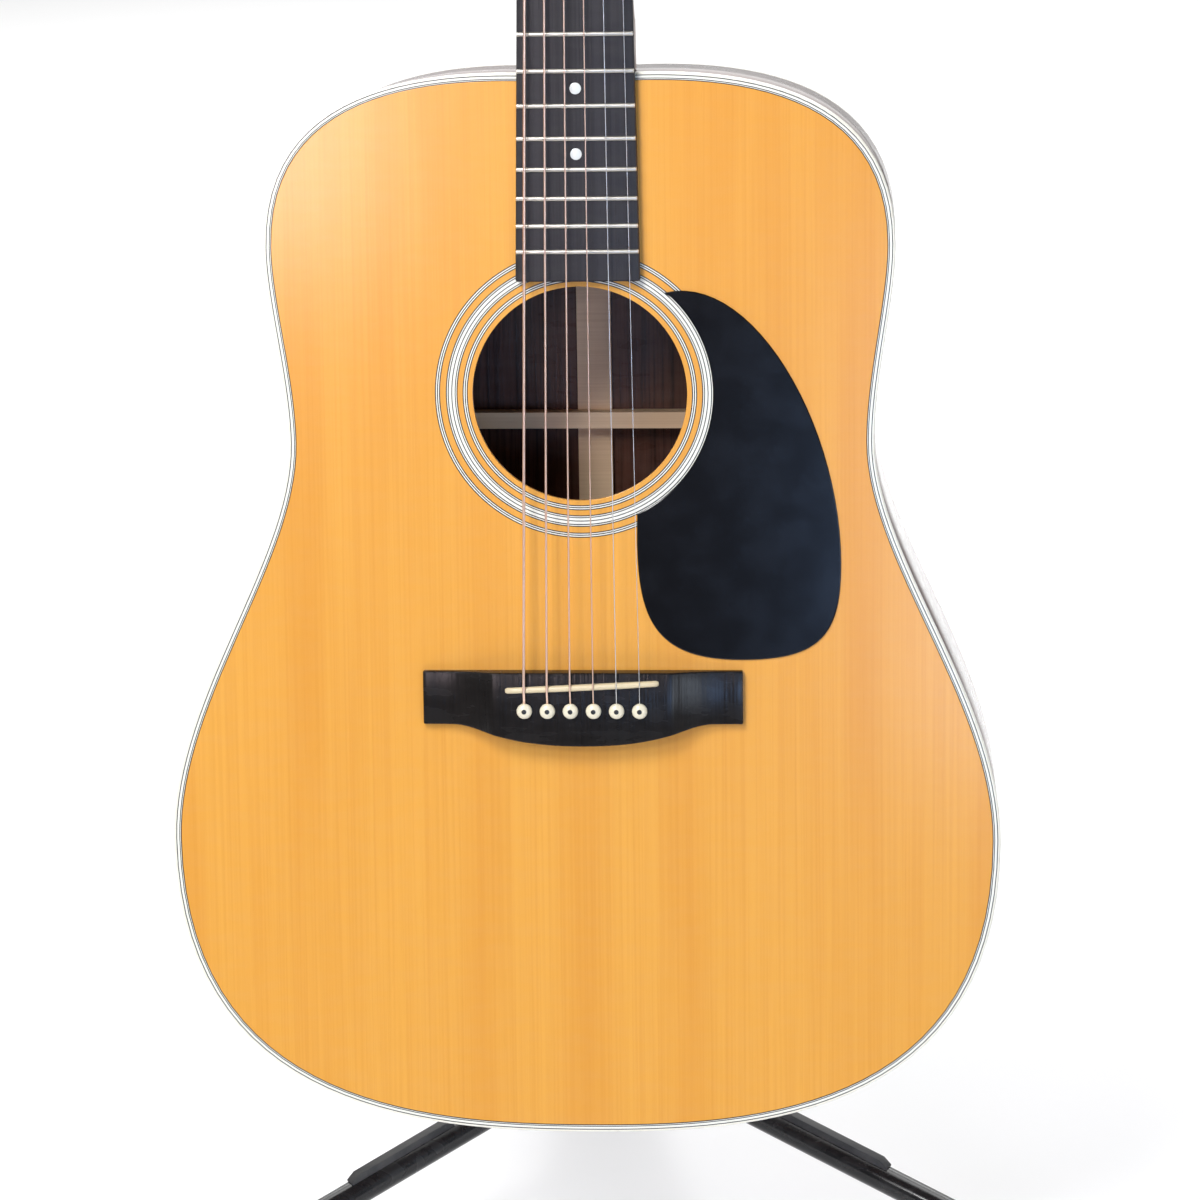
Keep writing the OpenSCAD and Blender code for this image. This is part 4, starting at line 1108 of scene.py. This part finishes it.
# %% Pickguard
GUARD_CURVES = [
    ((40.3, 46.7), (82, 57), (123.2, -16), (123.2, -82)),
    ((123.2, -82), (123.2, -116), (114, -128.5), (76, -128.5)),
    ((76, -128.5), (33, -128.5), (26.4, -108), (26.4, -68)),
]
GUARD_ARC_R = 63
GUARD_ARC_FROM = -65
GUARD_ARC_TURN = 111


def offset_loop(points, inset):
    """Move each point of an outline inwards, square to the line between its neighbours."""
    moved = []
    for i, point in enumerate(points):
        along = (Vector(points[(i + 1) % len(points)]) - Vector(points[i - 1])).normalized()
        moved.append((point[0] + inset * along.y, point[1] - inset * along.x))
    return moved


guard = [tuple(bezier(curve, i / 26)) for curve in GUARD_CURVES for i in range(26)]
inner_arc = [math.radians(GUARD_ARC_FROM + GUARD_ARC_TURN * i / 48) for i in range(49)]
guard += [(GUARD_ARC_R * math.cos(a), GUARD_ARC_R * math.sin(a) + SOUND_Y - HOLE_Y) for a in inner_arc]
guard = [(x, y + HOLE_Y) for x, y in guard]
bm = bmesh.new()
loft(bm, [at_height(guard, 0.0), at_height(guard, 0.35), at_height(offset_loop(guard, 0.2), 0.68),
          at_height(offset_loop(guard, 0.55), 0.8)])
piece("pickguard_sheet", bm, guard_black, stands_for=["pickguard"], sharp=14)

# %% End pin
END_PIN_Z = -62
knob = [(0, 2), (7, 2), (7, 0), (6.6, -0.4), (5.2, -2), (4.3, -4), (4.1, -6), (4.6, -8.2), (6.2, -10),
        (7.3, -10.8), (7.5, -11.7), (7.1, -12.6), (5.2, -13.7), (2.6, -14.3), (0, -14.5)]
tail = Matrix.Translation((0, JOIN_Y - BODY_END, END_PIN_Z)) @ Matrix.Rotation(-math.pi / 2, 4, "X")
bm = bmesh.new()
turned(bm, knob, tail, 40)
piece("end_pin_ebony", bm, ebony, stands_for=["end_pin"])

# %% [markdown]
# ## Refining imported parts
# Many machined and moulded parts already have the right shape, but their edges are perfectly
# sharp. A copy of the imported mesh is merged, its flat faces are joined, and its sharp edges get a
# small round, which catches the light as a real casting or tumbled part does.

# %% The refining helper
def refined(name, node, skin, width, segments=2, sharp=40):
    bm = bmesh.new()
    bm.from_mesh(nodes[node].data)
    bmesh.ops.remove_doubles(bm, verts=bm.verts, dist=2e-6)
    bmesh.ops.dissolve_limit(bm, angle_limit=math.radians(0.4), verts=bm.verts, edges=bm.edges,
                             use_dissolve_boundaries=False)
    rounded(bm, width * MM, segments, sharp)
    bmesh.ops.remove_doubles(bm, verts=bm.verts, dist=1e-6)
    body = nodes[node]["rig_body"]
    return piece(name, bm, skin, body, Matrix.Identity(4), [node])


# %% Tuning machines
refined("tuner_gear_cases", "tuner_housings", chrome, 0.7, 3)
refined("tuner_collars", "tuner_bushings", chrome, 0.35)
for number in range(1, 7):
    refined(f"tuner_button_{number}", f"tuner_key_{number}", chrome, 0.8, 3)
    refined(f"tuner_shaft_{number}", f"tuner_post_{number}", chrome, 0.3)

# %% [markdown]
# ## The folding stand
# Three enamelled tubes hinge on a moulded hub round a tubular column. Rubber boots end the legs,
# and a rough rubber strip lies on each. A clamp with a lobed knob sets the height of the inner rod,
# which carries the fork for the neck.

# %% Column, hub and legs
STAND_METAL = {"column_tube": enamel, "column_rod": enamel, "leg_left": enamel, "leg_right": enamel,
               "leg_rear": enamel}
for node, skin in STAND_METAL.items():
    skins = nodes[node].data.materials
    skins.clear()
    skins.append(skin)
refined("hub_moulding", "leg_hub", nylon, 0.8, 3)
refined("clamp_moulding", "height_clamp", nylon, 1.2, 3)
refined("clamp_star_knob", "clamp_knob", nylon, 1.4, 4)
refined("rest_bracket", "rest_arm", enamel, 0.6)
for side in ("left", "right", "rear"):
    refined(f"strip_{side}", f"leg_pad_{side}", strip_rubber, 0.9, 3)
    refined(f"boot_{side}", f"foot_{side}", rubber, 0.6, 2)

# %% Hinge rivets
column_low, column_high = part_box("column_tube")
COLUMN = Vector(((column_low.x + column_high.x) / 2, (column_low.y + column_high.y) / 2, 0)) / MM
HUB_Z = 104
PIVOT_R = 34
LEG_SLOPE = math.radians(16.9)
PIVOT_DROP = PIVOT_R * math.tan(LEG_SLOPE)
EAR_FACE = 12.5
LEG_TURNS = (-55.1, 64.9, 184.9)
RIVET = [(0, -0.5), (5.2, -0.5), (5.2, 0.5), (4.6, 1.1), (3, 1.6), (0, 1.8)]
bm = bmesh.new()
for turn in LEG_TURNS:
    out = math.radians(turn - 90)
    at_leg = Matrix.Translation(COLUMN + Vector((0, 0, HUB_Z))) @ Matrix.Rotation(out, 4, "Z")
    for side in (-1, 1):
        flip = Matrix.Rotation(-side * math.pi / 2, 4, "X")
        at = at_leg @ Matrix.Translation((PIVOT_R, side * EAR_FACE, -PIVOT_DROP)) @ flip
        turned(bm, RIVET, at, 28)
piece("hinge_rivets", bm, zinc, "stand", ROOM)

# %% [markdown]
# ## The fork and its foam
# The fork is one steel bar bent to a U, with its ends turned up so that the neck can't slip off.
# Foam sleeves cover its arms. The bar and the sleeves share one path with rounded corners. Foam is
# never perfectly straight, so its skin undulates a little.

# %% Fork and collar
ARM_X = 32.5
CROSS_Y = -45
ARM_TIP = -120
TIP_RISE = 16
FOAM_OVER_TIP = 6.5
fork_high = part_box("yoke")[1]
FORK = COLUMN + Vector((0, 0, fork_high.z / MM - TIP_RISE - FOAM_OVER_TIP))


def softened(points, radius, steps=7):
    """Replace each inner corner of a path by a curve that starts a given distance before it."""
    path = [points[0]]
    for before, corner_at, after in zip(points, points[1:], points[2:]):
        start = corner_at + (before - corner_at).normalized() * radius
        end = corner_at + (after - corner_at).normalized() * radius
        for i in range(steps + 1):
            t = i / steps
            path.append((1 - t) ** 2 * start + 2 * (1 - t) * t * corner_at + t * t * end)
    return path + [points[-1]]


def fork_points(side, tip_rise):
    return [Vector((side * ARM_X, ARM_TIP, tip_rise)), Vector((side * ARM_X, ARM_TIP, 0)),
            Vector((side * ARM_X, CROSS_Y, 0))]


bm = bmesh.new()
bar = softened(fork_points(-1, TIP_RISE) + list(reversed(fork_points(1, TIP_RISE))), 9)
tube(bm, bar, 5, 24)
tube(bm, [Vector((0, -10, 0)), Vector((0, CROSS_Y + 4, 0)), Vector((0, CROSS_Y, 0))], [7, 7, 6.2], 24)
collar = [(11.4, -16), (14, -16), (15, -15), (15, 13), (14, 14), (11.2, 14), (0, 14), (0, 9), (11.4, 9),
          (11.4, -16)]
turned(bm, collar, steps=48)
bmesh.ops.translate(bm, vec=FORK, verts=bm.verts)
piece("fork_bar", bm, enamel, "upper_stand", ROOM, ["yoke"])


# %% Foam sleeves
def undulate(bm, size, amount):
    """Move each point a little in or out, so that a foam skin isn't perfectly even."""
    bm.normal_update()
    for vert in bm.verts:
        vert.co += vert.normal * amount * field.noise(vert.co * size)


SLEEVE_R = 8.3
SLEEVE_TIP_R = 6.5
for side, label in ((-1, "left"), (1, "right")):
    tip = Vector((side * ARM_X, ARM_TIP, TIP_RISE + 6.2))
    corner_at = Vector((side * ARM_X, ARM_TIP, 0))
    rear = Vector((side * ARM_X, -53, 0))
    rising = [tip - Vector((0, 0, d)) for d in (0.0, 0.5, 1.6, 3.4, 5.8, 9)]
    bend = softened([rising[-1], corner_at, rear], 11, 9)[1:-1]
    along = [bend[-1].lerp(rear, t) for t in (0.15, 0.35, 0.55, 0.75, 0.92, 0.975, 1.0)]
    path = [p + FORK for p in rising + bend + along]
    radii = [2.2, 4.0, 5.4, 6.2, SLEEVE_TIP_R, SLEEVE_TIP_R]
    radii += [SLEEVE_TIP_R + (SLEEVE_R - SLEEVE_TIP_R) * i / (len(bend) - 1) for i in range(len(bend))]
    radii += [SLEEVE_R] * 5 + [SLEEVE_R - 0.35, SLEEVE_R - 1.3]
    bm = bmesh.new()
    tube(bm, path, radii, 28)
    undulate(bm, 0.16, 0.22)
    sleeve = piece(f"fork_foam_{label}", bm, foam, "upper_stand", ROOM, sharp=50)

# %% Rest foam
rest_low, rest_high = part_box("rest_pads")
REST = Vector((COLUMN.x, (rest_low.y + rest_high.y) / 2 / MM, (rest_low.z + rest_high.z) / 2 / MM))
PAD_R = 11.9
PAD_X = 45
for side, label in ((-1, "left"), (1, "right")):
    spots = [-37, -36.6, -35.6, -33.5, -28, -20, -10, 0, 10, 20, 28, 33.5, 35.6, 36.6, 37]
    path = [REST + Vector((side * PAD_X + d, 0, 0)) for d in spots]
    radii = [PAD_R - 2.6, PAD_R - 1.5, PAD_R - 0.7, PAD_R - 0.25] + [PAD_R - 0.05] * 7
    radii += [PAD_R - 0.25, PAD_R - 0.7, PAD_R - 1.5, PAD_R - 2.6]
    bm = bmesh.new()
    tube(bm, path, radii, 36)
    undulate(bm, 0.1, 0.18)
    pad = piece(f"rest_foam_{label}", bm, foam, "stand", ROOM, ["rest_pads"], sharp=50)

# %% [markdown]
# ## The studio
# A wide pale floor lies under the stand and the room beyond it is white. A large soft light at the
# upper left does most of the work and throws a soft shadow to the right. A nearer one above
# brightens the upper half of the body. Two wide ones light the floor, and one behind lights the
# edges of the guitar. Three small panels in front give the lacquer, the pickguard and the scooped
# wing of the bridge something to reflect. The camera sees a white room, but surfaces reflect a dim
# one, so the blacks stay black.

# %% Floor
FLOOR_HALF_X = 7
FLOOR_HALF_Y = 4.5
FLOOR_MIDDLE_Y = 3.55
spread = Matrix.Translation((0, FLOOR_MIDDLE_Y, 0)) @ Matrix.Diagonal((FLOOR_HALF_X, FLOOR_HALF_Y, 1, 1))
bm = bmesh.new()
bmesh.ops.create_grid(bm, x_segments=1, y_segments=1, size=1, matrix=spread)
mesh = bpy.data.meshes.new("floor")
bm.to_mesh(mesh)
bm.free()
paper = new_skin("paper", 0.9, Base_Color=(0.92, 0.92, 0.92, 1))[0]
mesh.materials.append(paper)
floor = bpy.data.objects.new("floor", mesh)
bpy.context.scene.collection.objects.link(floor)
print("floor", 2 * FLOOR_HALF_X, "by", 2 * FLOOR_HALF_Y, "m")


# %% Lights
DIM_ROOM = 0.15


def softbox(name, at, aim, size, power, tint=(1, 1, 1), size_y=None):
    """A flat lamp that lights the scene without showing itself to the camera."""
    light = bpy.data.lights.new(name, "AREA")
    light.shape = "RECTANGLE"
    light.size = size
    light.size_y = size_y or size
    light.energy = power
    light.color = tint
    lamp = bpy.data.objects.new(name, light)
    lamp.location = at
    lamp.visible_camera = False
    lamp.rotation_euler = (Vector(aim) - Vector(at)).to_track_quat("-Z", "Y").to_euler()
    bpy.context.scene.collection.objects.link(lamp)


softbox("key", (-1.76, -4.16, 3.0), (0, -0.2, 0.5), 0.75, 62)
softbox("upper", (-0.45, -0.95, 1.45), (0, -0.2, 0.68), 0.5, 14)
softbox("side_fill", (0.98, -1.9, 0.44), (0, -0.2, 0.4), 0.6, 6, (0.72, 0.84, 1.0), 0.5)
softbox("top", (0, 0.9, 2.8), (0, 0.9, 0), 2.6, 50, size_y=1.4)
softbox("far", (0, 3.0, 2.6), (0, 3.0, 0), 4, 95, size_y=1.6)
softbox("rear", (0, 2.2, 1.5), (0, 0, 0.7), 3, 22, size_y=2)
softbox("window", (-0.5, -2.3, 0.86), (-0.1, -0.2, 0.6), 0.26, 5, (1.0, 0.82, 0.88), 0.34)
softbox("cool_side", (0.36, -2.25, 0.46), (0.1, -0.2, 0.42), 0.4, 5.5, (0.34, 0.56, 1.0), 0.5)
world = bpy.data.worlds.new("studio")
bpy.context.scene.world = world
world.use_nodes = True
shade = world.node_tree.nodes["Background"]
shade.inputs["Color"].default_value = (1, 1, 1, 1)
seen = world.node_tree.nodes.new("ShaderNodeLightPath").outputs["Is Camera Ray"]
world.node_tree.links.new(sums(world.node_tree, "MAXIMUM", seen, DIM_ROOM), shade.inputs["Strength"])
bpy.context.scene.view_settings.view_transform = "Standard"
print("lamps:", [light.name for light in bpy.data.lights])

# %% [markdown]
# ## The camera
# The camera stands in front of the guitar and a little to its treble side, about two metres off
# and well above it, looking down at the face of the body through a long lens.

# %% Camera
AIM = Vector((0.0045, -0.3556, 0.4411))
DISTANCE = 1.95
AROUND = math.radians(3.87)
ABOVE = math.radians(17.14)
ROLL = math.radians(-1.17)
LENS = 131.7
SENSOR = 36
back = Vector((math.sin(AROUND) * math.cos(ABOVE), -math.cos(AROUND) * math.cos(ABOVE), math.sin(ABOVE)))
camera = bpy.data.objects.new("camera", bpy.data.cameras.new("camera"))
camera.data.lens = LENS
camera.data.sensor_width = SENSOR
looking = (-back).to_track_quat("-Z", "Y").to_matrix().to_4x4()
camera.matrix_world = Matrix.Translation(AIM + DISTANCE * back) @ looking @ Matrix.Rotation(ROLL, 4, "Z")
bpy.context.scene.collection.objects.link(camera)
bpy.context.scene.camera = camera
print("camera", DISTANCE, "m from its aim, lens", LENS, "mm")
